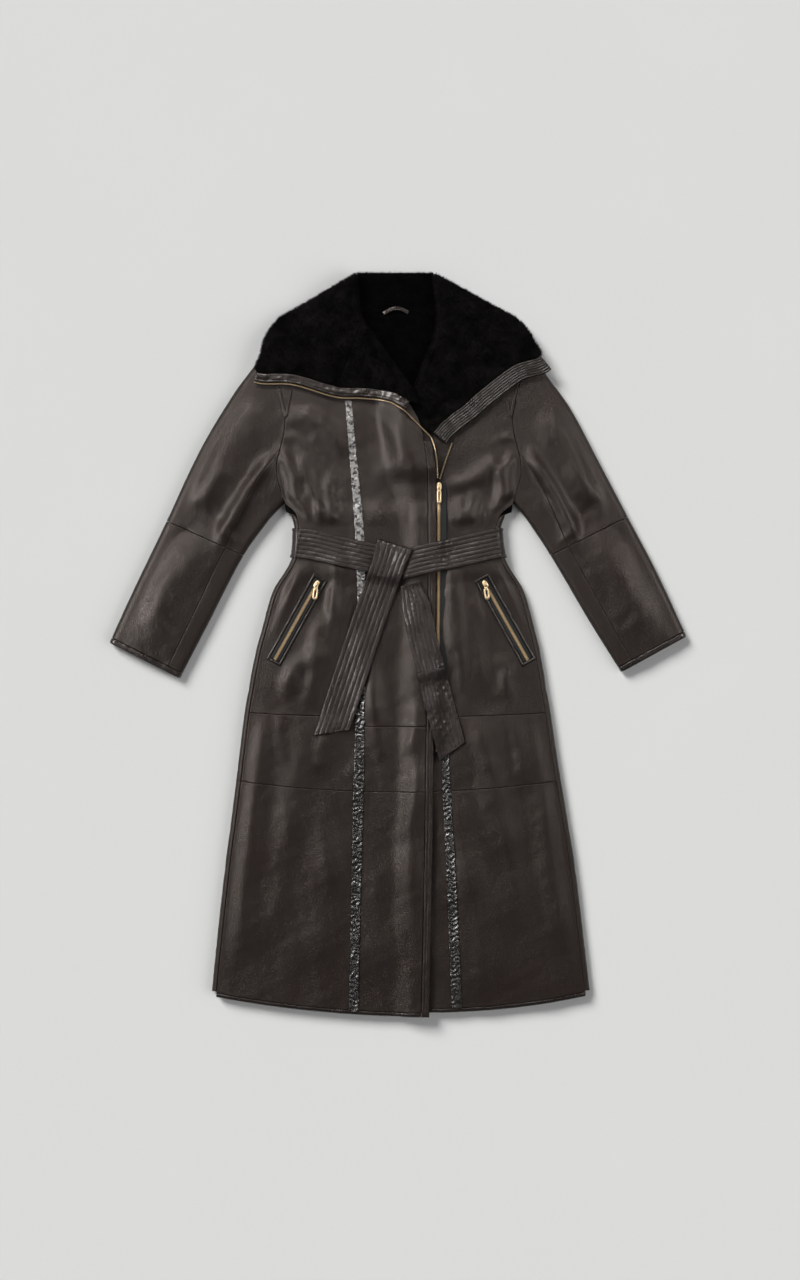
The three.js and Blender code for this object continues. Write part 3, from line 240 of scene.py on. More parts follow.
@dataclass(frozen=True)
class Fold:
    """A soft ridge of the cloth, or a trough where its rise is negative.

    It runs from one point to the other, bowed sideways, and is bell-shaped across.
    """

    x0: float
    y0: float
    x1: float
    y1: float
    bow: float
    wide: float
    rise: float

    def height(self, x: Array, y: Array) -> Array:
        """rise times exp(-(off / wide) squared), faded in and out along the fold."""
        dx, dy = self.x1 - self.x0, self.y1 - self.y0
        long = math.hypot(dx, dy)
        along = ((x - self.x0) * dx + (y - self.y0) * dy) / long**2
        t = np.clip(along, -0.2, 1.2)
        off = ((x - self.x0) * dy - (y - self.y0) * dx) / long - self.bow * 4 * t * (1 - t)
        fade = smooth(along, -0.12, 0.2) * (1 - smooth(along, 0.75, 1.12))
        return self.rise * fade * np.exp(-((off / self.wide) ** 2))


# The largest folds, as the coat's solids have them
FOLDS = (
    Fold(-178, 392, -92, 322, -14, 15, 6),
    Fold(-200, 335, -168, 205, -8, 10, 8),
    Fold(-165, 320, -112, 205, 10, 13, 6),
    Fold(-118, 285, -106, 203, 3, 9, 5),
    Fold(-107, 146, -142, -70, -12, 12, 6),
    Fold(-172, 138, -224, 0, -10, 15, 7),
    Fold(-128, -8, -196, -80, 8, 16, 4),
    Fold(-150, -130, -168, -330, 6, 28, 5),
    Fold(-118, -300, -148, -560, -6, 34, 4),
    Fold(-232, -120, -270, -540, 4, 26, 5),
    Fold(-37, -50, -30, -190, 4, 16, 4),
    Fold(22, -160, -12, -560, -10, 22, 4),
    Fold(-18, 392, 34, 250, -12, 18, 4),
    Fold(86, 268, 172, 322, 12, 14, 7),
    Fold(168, 310, 160, 204, -10, 10, 7),
    Fold(190, 320, 190, 232, 5, 9, 6),
    Fold(128, 262, 124, 204, 3, 9, 5),
    Fold(104, 250, 104, 202, 0, 8, 5),
    Fold(102, 134, 108, -70, 0, 11, 6),
    Fold(180, 140, 222, 10, 10, 14, 6),
    Fold(150, -120, 168, -360, -6, 30, 5),
    Fold(232, -130, 276, -540, -4, 28, 5),
    Fold(120, -330, 160, -570, 6, 30, 4),
    Fold(-213, 318, -306, 168, 5, 12, 12),
    Fold(-250, 400, -350, 232, -8, 34, 8),
    Fold(-330, 178, -428, -4, 4, 32, 7),
    Fold(-278, 146, -372, -38, 0, 12, 5),
    Fold(222, 322, 306, 172, -5, 12, 12),
    Fold(254, 398, 350, 236, 8, 34, 8),
    Fold(330, 182, 426, 6, -4, 32, 7),
    Fold(276, 150, 376, -28, 0, 12, 5),
)
# Finer creases that only the cloth's skin shows
CREASES = (
    Fold(-111, 134, -107, 44, 3, 9, 3.0),
    Fold(-130, 50, -149, -104, 4, 11, 3.4),
    Fold(-166, -20, -190, -100, 6, 12, 2.4),
    Fold(-44, -30, -39, -128, 3, 12, 3.0),
    Fold(32, -100, 16, -186, -4, 10, 2.6),
    Fold(93, 128, 92, -30, 3, 10, 3.4),
    Fold(126, 96, 150, -76, 8, 14, 2.8),
    Fold(168, -20, 186, -96, -5, 10, 2.0),
    Fold(-198, -112, -194, -200, 3, 12, 2.4),
    Fold(-112, -130, -134, -218, 4, 13, 2.6),
    Fold(-62, -180, -80, -232, 3, 10, 1.8),
    Fold(36, -200, 8, -330, -7, 13, 2.4),
    Fold(134, -130, 160, -220, 4, 12, 2.0),
    Fold(196, -130, 208, -240, -4, 12, 2.0),
    Fold(-120, -250, -110, -420, 8, 20, 2.2),
    Fold(-190, -260, -206, -470, -6, 20, 2.2),
    Fold(-20, -360, -34, -560, 6, 20, 2.0),
    Fold(110, -260, 128, -430, 7, 20, 2.2),
    Fold(180, -300, 200, -500, -7, 20, 2.0),
    Fold(150, -440, 140, -590, 5, 18, 1.8),
    Fold(-158, 252, -153, 204, 2, 6, 2.4),
    Fold(-134, 240, -131, 203, 1, 5, 2.0),
    Fold(-66, 240, -62, 203, 1, 6, 1.5),
    Fold(-46, 232, -45, 202, 0, 5, 1.3),
    Fold(32, 236, 30, 203, 0, 6, 1.3),
    Fold(146, 246, 143, 203, 1, 5, 2.2),
    Fold(112, 232, 112, 202, 0, 5, 1.6),
    Fold(-172, 142, -186, 84, -3, 6, 2.2),
    Fold(-122, 142, -127, 92, -2, 5, 1.8),
    Fold(-74, 140, -76, 70, -2, 5, 1.6),
    Fold(-26, 118, -26, 40, 0, 8, 1.4),
    Fold(88, 140, 90, 76, 1, 5, 1.8),
    Fold(118, 140, 122, 88, 2, 5, 2.0),
    Fold(170, 140, 186, 88, 3, 6, 2.2),
    Fold(-206, 40, -150, -100, 10, 9, 1.6),
    Fold(208, 30, 160, -96, -10, 9, 1.5),
    Fold(-196, 352, -150, 330, -6, 7, 2.0),
    Fold(-196, 318, -166, 272, -6, 7, 2.2),
    Fold(196, 352, 152, 330, 6, 7, 2.0),
    Fold(196, 318, 168, 272, 6, 7, 2.2),
    Fold(-40, 400, 6, 300, -10, 9, 1.8),
    Fold(-60, 380, -30, 260, -8, 9, 1.3),
    Fold(-352, 196, -392, 168, 2, 9, -2.0),
    Fold(-300, 196, -262, 168, 3, 8, 1.8),
    Fold(352, 200, 392, 176, -2, 9, -2.0),
    Fold(300, 196, 262, 168, -3, 8, 1.8),
    Fold(-372, 130, -420, 30, 5, 16, 1.6),
    Fold(372, 136, 418, 36, -5, 16, 1.6),
    Fold(-185, 372, -128, 300, -8, 6, -1.6),
    Fold(-150, 296, -122, 216, 6, 5, 1.4),
    Fold(-184, 268, -170, 206, 3, 5, 1.8),
    Fold(-92, 258, -88, 202, 2, 6, 1.2),
    Fold(-30, 250, -24, 202, 2, 8, 1.0),
    Fold(10, 240, 6, 202, -2, 7, 0.9),
    Fold(-86, 142, -92, 30, -5, 7, 1.6),
    Fold(-150, 138, -172, 60, -4, 6, 1.4),
    Fold(-196, 130, -214, 78, -3, 6, 1.3),
    Fold(-44, 100, -40, -40, 3, 9, 1.3),
    Fold(150, 288, 116, 220, -5, 6, 1.6),
    Fold(182, 262, 172, 206, -3, 5, 1.6),
    Fold(92, 240, 92, 202, 0, 5, 1.2),
    Fold(128, 140, 140, 40, 4, 7, 1.5),
    Fold(158, 138, 176, 66, 3, 6, 1.4),
    Fold(200, 132, 214, 84, 3, 6, 1.2),
    Fold(-246, 250, -282, 188, 3, 7, 1.8),
    Fold(-292, 300, -330, 232, 4, 8, 1.6),
    Fold(-340, 240, -300, 208, 3, 9, -1.5),
    Fold(-300, 172, -340, 98, -3, 8, 1.4),
    Fold(-400, 60, -372, 20, 3, 8, -1.2),
    Fold(246, 250, 282, 188, -3, 7, 1.8),
    Fold(292, 300, 330, 236, -4, 8, 1.6),
    Fold(336, 246, 300, 214, -3, 9, -1.5),
    Fold(300, 176, 340, 104, 3, 8, 1.4),
    Fold(402, 68, 372, 28, -3, 8, -1.2),
)
# x and y of the upper and lower end of each pocket's middle line
POCKETS = {Side.RIGHT: (-131, 114, -211.5, -31), Side.LEFT: (141, 114, 222.5, -31.6)}
WELT_WIDE = 27.4
WELT_BORDER = 5.0
WELT_THICK = 2.2


def undulation(x: Array, y: Array, seed: int, wave: float, waves: int = 9) -> Array:
    """Soft unevenness between about -1 and 1: a sum of sine waves in seeded directions.

    Args:
        x, y: where it is read, in millimetres.
        seed: fixes the directions and phases.
        wave: the mean wavelength in millimetres.
        waves: how many waves are summed.
    """
    rng = np.random.default_rng(seed)
    total = np.zeros_like(np.asarray(x, float))
    for angle, phase, stretch in zip(
        rng.uniform(0, 2 * math.pi, waves), rng.uniform(0, 2 * math.pi, waves), rng.uniform(0.7, 1.4, waves)
    ):
        k = 2 * math.pi / (wave * stretch)
        total = total + np.sin(k * (x * math.cos(angle) + y * math.sin(angle)) + phase)
    return total / math.sqrt(waves)


class CoatForm:
    """The coat's outlines and levels, the same ones that its solids are made from."""

    def __init__(self) -> None:
        """Reads the tables as smooth curves."""
        y, right, left = columns(SIDES)
        self.outline = {Side.RIGHT: track(y, right), Side.LEFT: track(y, left)}
        self.armhole_right = track(*columns(ARMHOLE))
        self.front_edge = track(*columns(FRONT_EDGE))
        y, right, left = columns(FRONT_NECK)
        self.neck = {Side.RIGHT: track(y, right), Side.LEFT: track(y, left)}
        y, x, _ = columns(TAPE_RIGHT)
        self.tape_line = track(y, x)

    def belt_share(self, y: Array) -> Array:
        """1 where the belt behind raises the coat in full, 0 away from it."""
        return 1 - smooth(np.abs(y - BELT_Y), 45, 75)

    def belt_lift(self, y: Array) -> Array:
        """How far the belt behind raises the coat."""
        return BELT_LIFT * self.belt_share(y)

    def side(self, side: Side, y: Array) -> Array:
        """The rolled side edge, drawn in by the belt."""
        return self.outline[side](y) - side.value * self.belt_lift(y)

    def front_side(self, side: Side, y: Array) -> Array:
        """A front's outer boundary: the side seam, and above the armpit the armhole."""
        y = np.asarray(y, float)
        edge = self.side(side, y)
        seam = lerp(edge - side.value * EDGE, edge, smooth(y, ARMPIT_Y - 18, ARMPIT_Y))
        armhole = side.value * -self.armhole_right(y) + (SIDE_SHIFT if side is Side.LEFT else 0)
        return np.where(y >= ARMPIT_Y, armhole, seam)

    def facing_line(self, y: Array) -> Array:
        """The right front's inner boundary, along its bound strip and the lapel's roll."""
        y = np.asarray(y, float)
        above = self.neck[Side.RIGHT](y) - 8 * smooth(y, 352, 470)
        return np.where(y > 300, above, self.front_edge(y) - FACING_WIDE)

    def underlap_line(self, y: Array) -> Array:
        """The left front's inner boundary, under the right front and along the lapel's roll."""
        y = np.asarray(y, float)
        return np.where(y > 300, self.neck[Side.LEFT](y), self.front_edge(y) - 17)

    def hem_right(self, x: Array) -> Array:
        """The lower edge of the right front."""
        return -596 - 35 * (1 - ((x - 51) / 368) ** 2)

    def hem_left(self, x: Array) -> Array:
        """The lower edge of the left front."""
        return -594 - 30 * (1 - ((x - 56) / 271) ** 2)

    def hem_back(self, x: Array) -> Array:
        """The lower edge of the back."""
        return -594 - 24 * (1 - (x / 322) ** 2)

    def seam_low(self, x: Array) -> Array:
        """The lower cross seam."""
        return -231 - 19 * (1 - (x / 275) ** 2)

    def seam_high(self, x: Array) -> Array:
        """The upper cross seam of the side panels and the left front."""
        return -115.5 - 8 * (1 - (x / 262) ** 2)

    def seam_centre(self, x: Array) -> Array:
        """The upper cross seam of the right front's centre panel."""
        return np.full_like(np.asarray(x, float), -139.0)

    def shoulder_line(self, x: Array) -> Array:
        """The shoulder seam, level across the neck."""
        t = np.clip((np.abs(x) - NECK[0]) / (SHOULDER[0] - NECK[0]), 0, 1.02)
        return lerp(NECK[1], SHOULDER[1], t)

    def calm(self, x: Array, y: Array) -> Array:
        """0 where belt, pockets and wings press the folds flat, 1 elsewhere."""
        total = (1 - 0.8 * (1 - smooth(np.abs(y - BELT_Y), 25, 41))) * (1 - smooth(y, 392, 425))
        for x0, y0, x1, y1 in POCKETS.values():
            dx, dy = x1 - x0, y1 - y0
            t = np.clip(((x - x0) * dx + (y - y0) * dy) / (dx * dx + dy * dy), 0, 1)
            total = total * smooth(np.hypot(x - x0 - t * dx, y - y0 - t * dy), 14, 36)
        return total

    def skin(self, x: Array, y: Array) -> Array:
        """What the leather adds to its solid's form: creases and a soft unevenness."""
        fine = sum(crease.height(x, y) for crease in CREASES)
        return 1.35 * fine + 0.9 * undulation(x, 0.4 * y, 3, 56) + 0.24 * undulation(x, 0.6 * y, 5, 19)

    def upper_level(self, x: Array, y: Array, inset: Array) -> Array:
        """The upper layer's level, inset millimetres in from a rolled edge."""
        folds = sum(fold.height(x, y) for fold in FOLDS)
        rise = PUFF + folds * self.calm(x, y) + self.skin(x, y) * (0.35 + 0.65 * self.calm(x, y))
        return 2 * EDGE + self.belt_lift(y) + rise * smooth(inset, 0, SETTLE)

    def inset(self, side: Side, x: Array, y: Array) -> Array:
        """How far in from the rolled edge a point of a front lies."""
        y = np.asarray(y, float)
        return np.abs(x - self.front_side(side, np.minimum(y, 503))) + np.maximum(0, y - ARMPIT_Y)

    def right_lift(self, x: Array, y: Array) -> Array:
        """How far the right front is raised by the layers under its edge."""
        y = np.asarray(y, float)
        above = smooth(y, 220, 300)
        full = lerp(self.front_edge(np.minimum(y, 300)) - 26, 11, above)
        start = full - lerp(40, 50, above)
        t = np.clip((x - start) / (full - start), 0, 1)
        layers = 1 + smooth(y, 266, 304)
        rise = STEP_UP * layers + 1.5 * (layers - 1)
        return rise * t * t * (3 - 2 * t) * (1 - smooth(y, 445, 500))

    def right_top(self, x: Array, y: Array) -> Array:
        """The right front's upper surface."""
        return self.upper_level(x, y, self.inset(Side.RIGHT, x, y)) + self.right_lift(x, y)

    def left_top(self, x: Array, y: Array) -> Array:
        """The left front's upper surface."""
        return self.upper_level(x, y, self.inset(Side.LEFT, x, y))

    def shoulder_drop(self, x: Array, y: Array) -> Array:
        """How far a wing sinks beyond the shoulder seam."""
        dx, dy = SHOULDER[0] - NECK[0], SHOULDER[1] - NECK[1]
        beyond = ((y - NECK[1]) * dx - (np.abs(x) - NECK[0]) * dy) / math.hypot(dx, dy)
        return 20 * smooth(beyond, 0, 55) * smooth(np.abs(x), 84, 170)

    def wing_top(self, side: Side, x: Array, y: Array) -> Array:
        """The upper surface of a collar wing and its lapel."""
        lift = self.right_lift(x, y) if side is Side.RIGHT else 0
        return WING_LEVEL + lift - self.shoulder_drop(x, y)


FORM = CoatForm()


def graded(long: float, cell: float) -> Array:
    """Shares along a length: close together near both ends, about a cell apart between.

    Args:
        long: the length in millimetres.
        cell: the spacing between, in millimetres.
    """
    near = np.array([0, 0.4, 1.0, 1.9, 3.0, 4.6, 7.0])
    near = near[near < long / 3]
    count = max(2, int(round((long - 2 * near[-1]) / cell)))
    middle = np.linspace(near[-1], long - near[-1], count + 1)
    return np.concatenate([near[:-1], middle, long - near[:-1][::-1]]) / long


def rounded(off: Array, radius: float) -> Array:
    """How far a surface drops at a distance off its edge, where that edge is a quarter round.

    radius less the root of radius squared less (radius - off) squared.
    """
    short = radius - np.clip(off, 0, radius)
    return radius - np.sqrt(np.maximum(radius**2 - short**2, 0))


def shell_faces(rows: int, cols: int, ring: bool = False) -> Array:
    """Quads of a closed wall between two matching grids; a ring joins its last row to its first."""
    last = rows if ring else rows - 1
    r, c = np.meshgrid(np.arange(last), np.arange(cols - 1), indexing="ij")
    n = (r + 1) % rows
    a, b, d, e = r * cols + c, r * cols + c + 1, n * cols + c + 1, n * cols + c
    under = rows * cols
    upper = np.stack([a, b, d, e], -1).reshape(-1, 4)
    lower = np.stack([a, e, d, b], -1).reshape(-1, 4) + under
    r = np.arange(last)
    n = (r + 1) % rows
    first = np.stack([r * cols, n * cols, under + n * cols, under + r * cols], -1)
    end = np.stack([n, r, r, n], -1) * cols + cols - 1 + np.array([0, 0, under, under])
    parts = [upper, lower, first, end]
    if not ring:
        c = np.arange(cols - 1)
        low = np.stack([c + 1, c, under + c, under + c + 1], -1)
        top = (rows - 1) * cols
        parts += [low, np.stack([top + c, top + c + 1, under + top + c + 1, under + top + c], -1)]
    return np.concatenate(parts)


def facing_out(points: Array, faces: Array) -> Array:
    """The faces, all turned round if the volume that they enclose comes out negative."""
    a, b, c, d = (points[faces[:, k]] for k in range(4))
    volume = np.einsum("ij,ij->i", a, np.cross(b, c)).sum() + np.einsum("ij,ij->i", a, np.cross(c, d)).sum()
    return faces if volume > 0 else faces[:, ::-1]


@dataclass(frozen=True)
class Edges:
    """How round each edge of a panel is: its radius in millimetres."""

    left: float = 1.3
    right: float = 1.3
    lower: float = 1.2
    upper: float = 1.2


def soften(outer: Array, inner: Array, edges: Edges, pucker: float = 0.3, ring: bool = False) -> Array:
    """The outer grid, rounded down towards the inner one near its edges, with puckers along them.

    Distances run along the grid: columns from left to right, rows from lower to upper. The puckers
    are small waves that fade within a few millimetres of a seam.

    Args:
        outer, inner: rows by columns of points.
        edges: the radii.
        pucker: the waves' height.
        ring: the rows close on themselves, so only the columns have edges.
    """
    across = np.linalg.norm(np.diff(outer, axis=1), axis=2)
    along = np.linalg.norm(np.diff(outer, axis=0), axis=2)
    left = np.concatenate([np.zeros((len(outer), 1)), across.cumsum(1)], 1)
    low = np.concatenate([np.zeros((1, outer.shape[1])), along.cumsum(0)], 0)
    right, high = left[:, -1:] - left, low[-1:] - low
    drops = [rounded(left, edges.left), rounded(right, edges.right)]
    if not ring:
        drops += [rounded(low, edges.lower), rounded(high, edges.upper)]
    drop = np.maximum.reduce(drops)
    x, y = outer[..., 0], outer[..., 1]
    wander = 2 * undulation(x, y, 11, 30)
    waves = np.sin(low / 1.5 + wander) * np.exp(-np.minimum(left, right) / 5)
    if not ring:
        waves = waves + np.sin(left / 1.5 + wander) * np.exp(-np.minimum(low, high) / 5)
    thick = np.linalg.norm(outer - inner, axis=2) + 1e-9
    share = np.clip((drop - pucker * waves) / thick, -0.2, 0.97)
    return outer + (inner - outer) * share[..., None]


def mesh_object(
    name: str, points: Array, faces: Array, finish: bpy.types.Material
) -> bpy.types.Object:
    """A smooth-shaded object from points in millimetres and quads or triangles, at the origin.

    Args:
        name: the piece's name.
        points: one row a point, in millimetres.
        faces: one row a face, with 3 or 4 corners.
        finish: the material.
    """
    mesh = bpy.data.meshes.new(name)
    corners = faces.shape[1]
    mesh.vertices.add(len(points))
    mesh.vertices.foreach_set("co", (np.asarray(points, float) * MM).ravel())
    mesh.loops.add(faces.size)
    mesh.loops.foreach_set("vertex_index", faces.ravel().astype(np.int32))
    mesh.polygons.add(len(faces))
    mesh.polygons.foreach_set("loop_start", np.arange(0, faces.size, corners, dtype=np.int32))
    mesh.polygons.foreach_set("use_smooth", np.ones(len(faces), bool))
    mesh.update(calc_edges=True)
    mesh.validate()
    mesh.materials.append(finish)
    obj = bpy.data.objects.new(name, mesh)
    bpy.context.scene.collection.objects.link(obj)
    return obj


class Tailor:
    """Turns grids of points into pieces that ride on the coat."""

    def __init__(self, fur: bpy.types.Material) -> None:
        """Keeps the material of fur linings."""
        self.fur = fur

    def place(self, obj: bpy.types.Object, slot: str, nodes: Sequence[str] = ()) -> bpy.types.Object:
        """Attaches a piece to the coat's body and hides the solids that it stands for."""
        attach(obj, BODY)
        if nodes:
            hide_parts(*nodes)
        LOG.info("%s: %d faces", obj.name, len(obj.data.polygons))
        return obj

    def shell(
        self,
        name: str,
        outer: Array,
        inner: Array,
        finish: bpy.types.Material,
        slot: str = "leather",
        nodes: Sequence[str] = (),
        ring: bool = False,
        lined: bool = False,
    ) -> bpy.types.Object:
        """A closed wall between an outer and an inner grid of points, rows by columns by 3.

        Args:
            name: the piece's name.
            outer, inner: the two grids.
            finish: the outer material.
            slot: not used.
            nodes: the solids that the piece stands for.
            ring: the last row joins the first.
            lined: the inner faces are fur.
        """
        points = np.concatenate([outer.reshape(-1, 3), inner.reshape(-1, 3)])
        faces = facing_out(points, shell_faces(outer.shape[0], outer.shape[1], ring))
        obj = mesh_object(name, points, faces, finish)
        if lined:
            obj.data.materials.append(self.fur)
            inside = (faces >= outer.shape[0] * outer.shape[1]).any(1)
            obj.data.polygons.foreach_set("material_index", inside.astype(np.int32))
        return self.place(obj, slot, nodes)

    def cloth(
        self,
        name: str,
        outer: Array,
        inner: Array,
        finish: bpy.types.Material,
        slot: str = "leather",
        nodes: Sequence[str] = (),
        lined: bool = False,
        rests_on: Sequence[str] = (),
    ) -> None:
        """A wall whose cloth size is also worked out, read off its outer grid.

        Args:
            name: the piece's name.
            outer, inner: the two grids.
            finish: the outer material.
            slot: not used.
            nodes: the solids that the piece stands for.
            lined: the inner faces are fur.
            rests_on: not used.
        """
        obj = self.shell(name, outer, inner, finish, slot, nodes, lined=lined)
        self.sheet(outer)

    def sheet(self, outer: Array) -> None:
        """Works out the size that a cloth piece was cut to, read off its outer grid.

        The width is its longest row, the length its longest column, and the area that of its cells.
        """
        across = np.linalg.norm(np.diff(outer, axis=1), axis=2)
        along = np.linalg.norm(np.diff(outer, axis=0), axis=2)
        width, length = across.sum(1).max() * MM, along.sum(0).max() * MM
        cells = np.cross(outer[1:, 1:] - outer[:-1, :-1], outer[1:, :-1] - outer[:-1, 1:])
        area = min(np.linalg.norm(cells, axis=2).sum() / 2 * MM**2, width * length)
        flat = (max(0.01, round(float(width), 3)), max(0.01, round(float(length), 3)))
        area = round(float(min(area, flat[0] * flat[1])), 5)


@dataclass
class Panel:
    """A leather panel that lies as a height field between four lines."""

    name: str
    left: Line
    right: Line
    lower: Line
    upper: Line
    top: Field
    edges: Edges = field(default_factory=Edges)
    cell: float = 6.0
    thick: float = WALL

    def grid(self) -> tuple[Array, Array]:
        """The outer and inner grids: x between the side lines, y between the end lines, z the level.

        Near an edge the level drops as a quarter round, and small puckers run across the seams.
        """
        guess_low, guess_high = float(self.lower(0.0)), float(self.upper(0.0))
        v = graded(guess_high - guess_low, self.cell)[:, None]
        guess = lerp(guess_low, guess_high, v)
        wide = float(np.mean(self.right(guess) - self.left(guess)))
        u = graded(wide, self.cell)[None, :]
        across = lerp(self.left(guess), self.right(guess), u)
        low, high = self.lower(across), self.upper(across)
        y = lerp(low + GAP / 2, high - GAP / 2, v)
        x = lerp(self.left(y) + GAP / 2, self.right(y) - GAP / 2, u)
        x, y = np.broadcast_arrays(x, y)
        z = self.top(x, y)
        outer = np.stack([x, y, z], -1)
        inner = np.stack([x, y, z - self.thick], -1)
        return soften(outer, inner, self.edges), inner


# Finishes


@dataclass(frozen=True)
class Socket:
    """An input or output of a shader node group."""

    name: str
    kind: str
    default: float | None = None


def node_group(name: str, inputs: Sequence[Socket], outputs: Sequence[Socket]) -> bpy.types.NodeTree:
    """An empty shader node group with named sockets and its two end nodes."""
    tree = bpy.data.node_groups.new(name, "ShaderNodeTree")
    for socket in inputs:
        made = tree.interface.new_socket(socket.name, in_out="INPUT", socket_type=socket.kind)
        if socket.default is not None:
            made.default_value = socket.default
    for socket in outputs:
        tree.interface.new_socket(socket.name, in_out="OUTPUT", socket_type=socket.kind)
    tree.nodes.new("NodeGroupInput")
    tree.nodes.new("NodeGroupOutput")
    return tree


class Wiring:
    """Adds and joins nodes of one tree."""

    def __init__(self, tree: bpy.types.NodeTree) -> None:
        """Keeps the tree."""
        self.tree = tree

    def add(self, kind: str, **settings: object) -> bpy.types.Node:
        """A node of a kind, with its properties, and with inputs given as in_NAME or in_NUMBER."""
        node = self.tree.nodes.new(kind)
        for key, value in settings.items():
            if key.startswith("in_"):
                socket = key[3:]
                target = node.inputs[int(socket) if socket.isdigit() else socket.replace("_", " ")]
                if isinstance(value, bpy.types.NodeSocket):
                    self.tree.links.new(value, target)
                else:
                    target.default_value = value
            else:
                setattr(node, key, value)
        return node

    def join(self, source: bpy.types.NodeSocket, target: bpy.types.NodeSocket) -> None:
        """Links an output to an input."""
        self.tree.links.new(source, target)

    def math(self, operation: str, a: object, b: object = 0.0) -> bpy.types.NodeSocket:
        """The result of a math node on two values or sockets."""
        return self.add("ShaderNodeMath", operation=operation, in_0=a, in_1=b).outputs[0]


def grain_group() -> bpy.types.NodeTree:
    """Leather grain: small rounded pebbles with fine pores, and slow mottling.

    Height is the pebbles' distance from their edges plus noise. Mottle is noise of a long wave.
    """
    tree = node_group(
        "leather grain",
        [Socket("Vector", "NodeSocketVector"), Socket("Pebble", "NodeSocketFloat", 620.0)],
        [Socket("Height", "NodeSocketFloat"), Socket("Mottle", "NodeSocketFloat")],
    )
    wiring = Wiring(tree)
    given = tree.nodes["Group Input"].outputs
    wobble = wiring.add("ShaderNodeTexNoise", in_Vector=given["Vector"], in_Scale=240.0, in_Detail=3.0)
    bent = wiring.add(
        "ShaderNodeMix", data_type="VECTOR", in_0=0.004, in_4=given["Vector"], in_5=wobble.outputs["Color"]
    )
    pebble = wiring.add(
        "ShaderNodeTexVoronoi",
        feature="DISTANCE_TO_EDGE",
        in_Vector=bent.outputs[1],
        in_Scale=given["Pebble"],
    )
    dome = wiring.add(
        "ShaderNodeMapRange", interpolation_type="SMOOTHSTEP", in_0=pebble.outputs["Distance"], in_2=0.28
    )
    pores = wiring.add("ShaderNodeTexNoise", in_Vector=given["Vector"], in_Scale=900.0, in_Detail=4.0)
    slow = wiring.add(
        "ShaderNodeTexNoise", in_Vector=given["Vector"], in_Scale=13.0, in_Detail=7.0, in_Roughness=0.6
    )
    height = wiring.math("ADD", dome.outputs[0], wiring.math("MULTIPLY", pores.outputs[0], 0.5))
    wiring.join(height, tree.nodes["Group Output"].inputs["Height"])
    wiring.join(slow.outputs[0], tree.nodes["Group Output"].inputs["Mottle"])
    return tree


def nap_group() -> bpy.types.NodeTree:
    """The nap of fur: fine fibres, and larger soft patches that the fur's colour uses as painted sheen where
    the nap leans another way.
    """
    tree = node_group(
        "fur nap",
        [Socket("Vector", "NodeSocketVector")],
        [Socket("Height", "NodeSocketFloat"), Socket("Patch", "NodeSocketFloat")],
    )
    wiring = Wiring(tree)
    vector = tree.nodes["Group Input"].outputs["Vector"]
    fine = wiring.add("ShaderNodeTexNoise", in_Vector=vector, in_Scale=520.0, in_Detail=5.0, in_Roughness=0.7)
    # the broad noise places the patches of painted sheen
    broad = wiring.add("ShaderNodeTexNoise", in_Vector=vector, in_Scale=34.0, in_Detail=4.0, in_Roughness=0.6)
    wiring.join(fine.outputs[0], tree.nodes["Group Output"].inputs["Height"])
    wiring.join(broad.outputs[0], tree.nodes["Group Output"].inputs["Patch"])
    return tree


class FinishTree(Wiring):
    """A new material, with its shader and its Object coordinates at hand."""

    def __init__(self, name: str) -> None:
        """Makes the material under a name."""
        self.material = bpy.data.materials.new(name)
        self.material.use_nodes = True
        super().__init__(self.material.node_tree)
        self.shader = self.tree.nodes["Principled BSDF"]
        self.place = self.add("ShaderNodeTexCoord").outputs["Object"]

    def colour(self, share: bpy.types.NodeSocket, low: Colour, high: Colour) -> None:
        """Base Color runs from one colour to the other as a share runs from 0 to 1."""
        mix = self.add("ShaderNodeMix", data_type="RGBA", in_0=share, in_6=(*low, 1.0), in_7=(*high, 1.0))
        self.join(mix.outputs[2], self.shader.inputs["Base Color"])

    def rough(self, share: bpy.types.NodeSocket, low: float, high: float) -> None:
        """Roughness runs from one value to the other as a share runs from 0 to 1."""
        value = self.add("ShaderNodeMapRange", in_0=share, in_3=low, in_4=high)
        self.join(value.outputs[0], self.shader.inputs["Roughness"])

    def bump(self, height: bpy.types.NodeSocket, strength: float, depth: float) -> None:
        """Normal follows a height. The depth is in metres."""
        node = self.add("ShaderNodeBump", in_Strength=strength, in_Distance=depth, in_Height=height)
        self.join(node.outputs[0], self.shader.inputs["Normal"])

    def fixed(self, **values: object) -> bpy.types.Material:
        """Sets the values that don't vary, each under its input's name with _ for a space.

        Returns:
            The finished material.
        """
        for name, value in values.items():
            self.shader.inputs[name.replace("_", " ")].default_value = value
        return self.material


@dataclass(frozen=True)
class LeatherFinish:
    """Dark brown grained leather with a soft gloss."""

    name: str = "brown leather"
    dark: Colour = (0.0148, 0.0066, 0.0060)
    light: Colour = (0.0155, 0.0138, 0.0104)
    rough: float = 0.38
    pebble: float = 430.0
    depth: float = 0.00016
    coat: float = 0.0

    def build(self, grain: bpy.types.NodeTree) -> bpy.types.Material:
        """Mottled colour, uneven roughness and a pebbled bump on Object coordinates."""
        tree = FinishTree(self.name)
        group = tree.add("ShaderNodeGroup", node_tree=grain, in_Vector=tree.place, in_Pebble=self.pebble)
        tree.colour(group.outputs["Mottle"], self.dark, self.light)
        tree.rough(group.outputs["Mottle"], self.rough - 0.04, self.rough + 0.04)
        tree.bump(group.outputs["Height"], 0.9, self.depth)
        return tree.fixed(
            Coat_Weight=self.coat,
            Coat_Roughness=0.16,
            Specular_IOR_Level=0.4,
            Specular_Tint=(1.0, 0.88, 0.81, 1.0),
        )


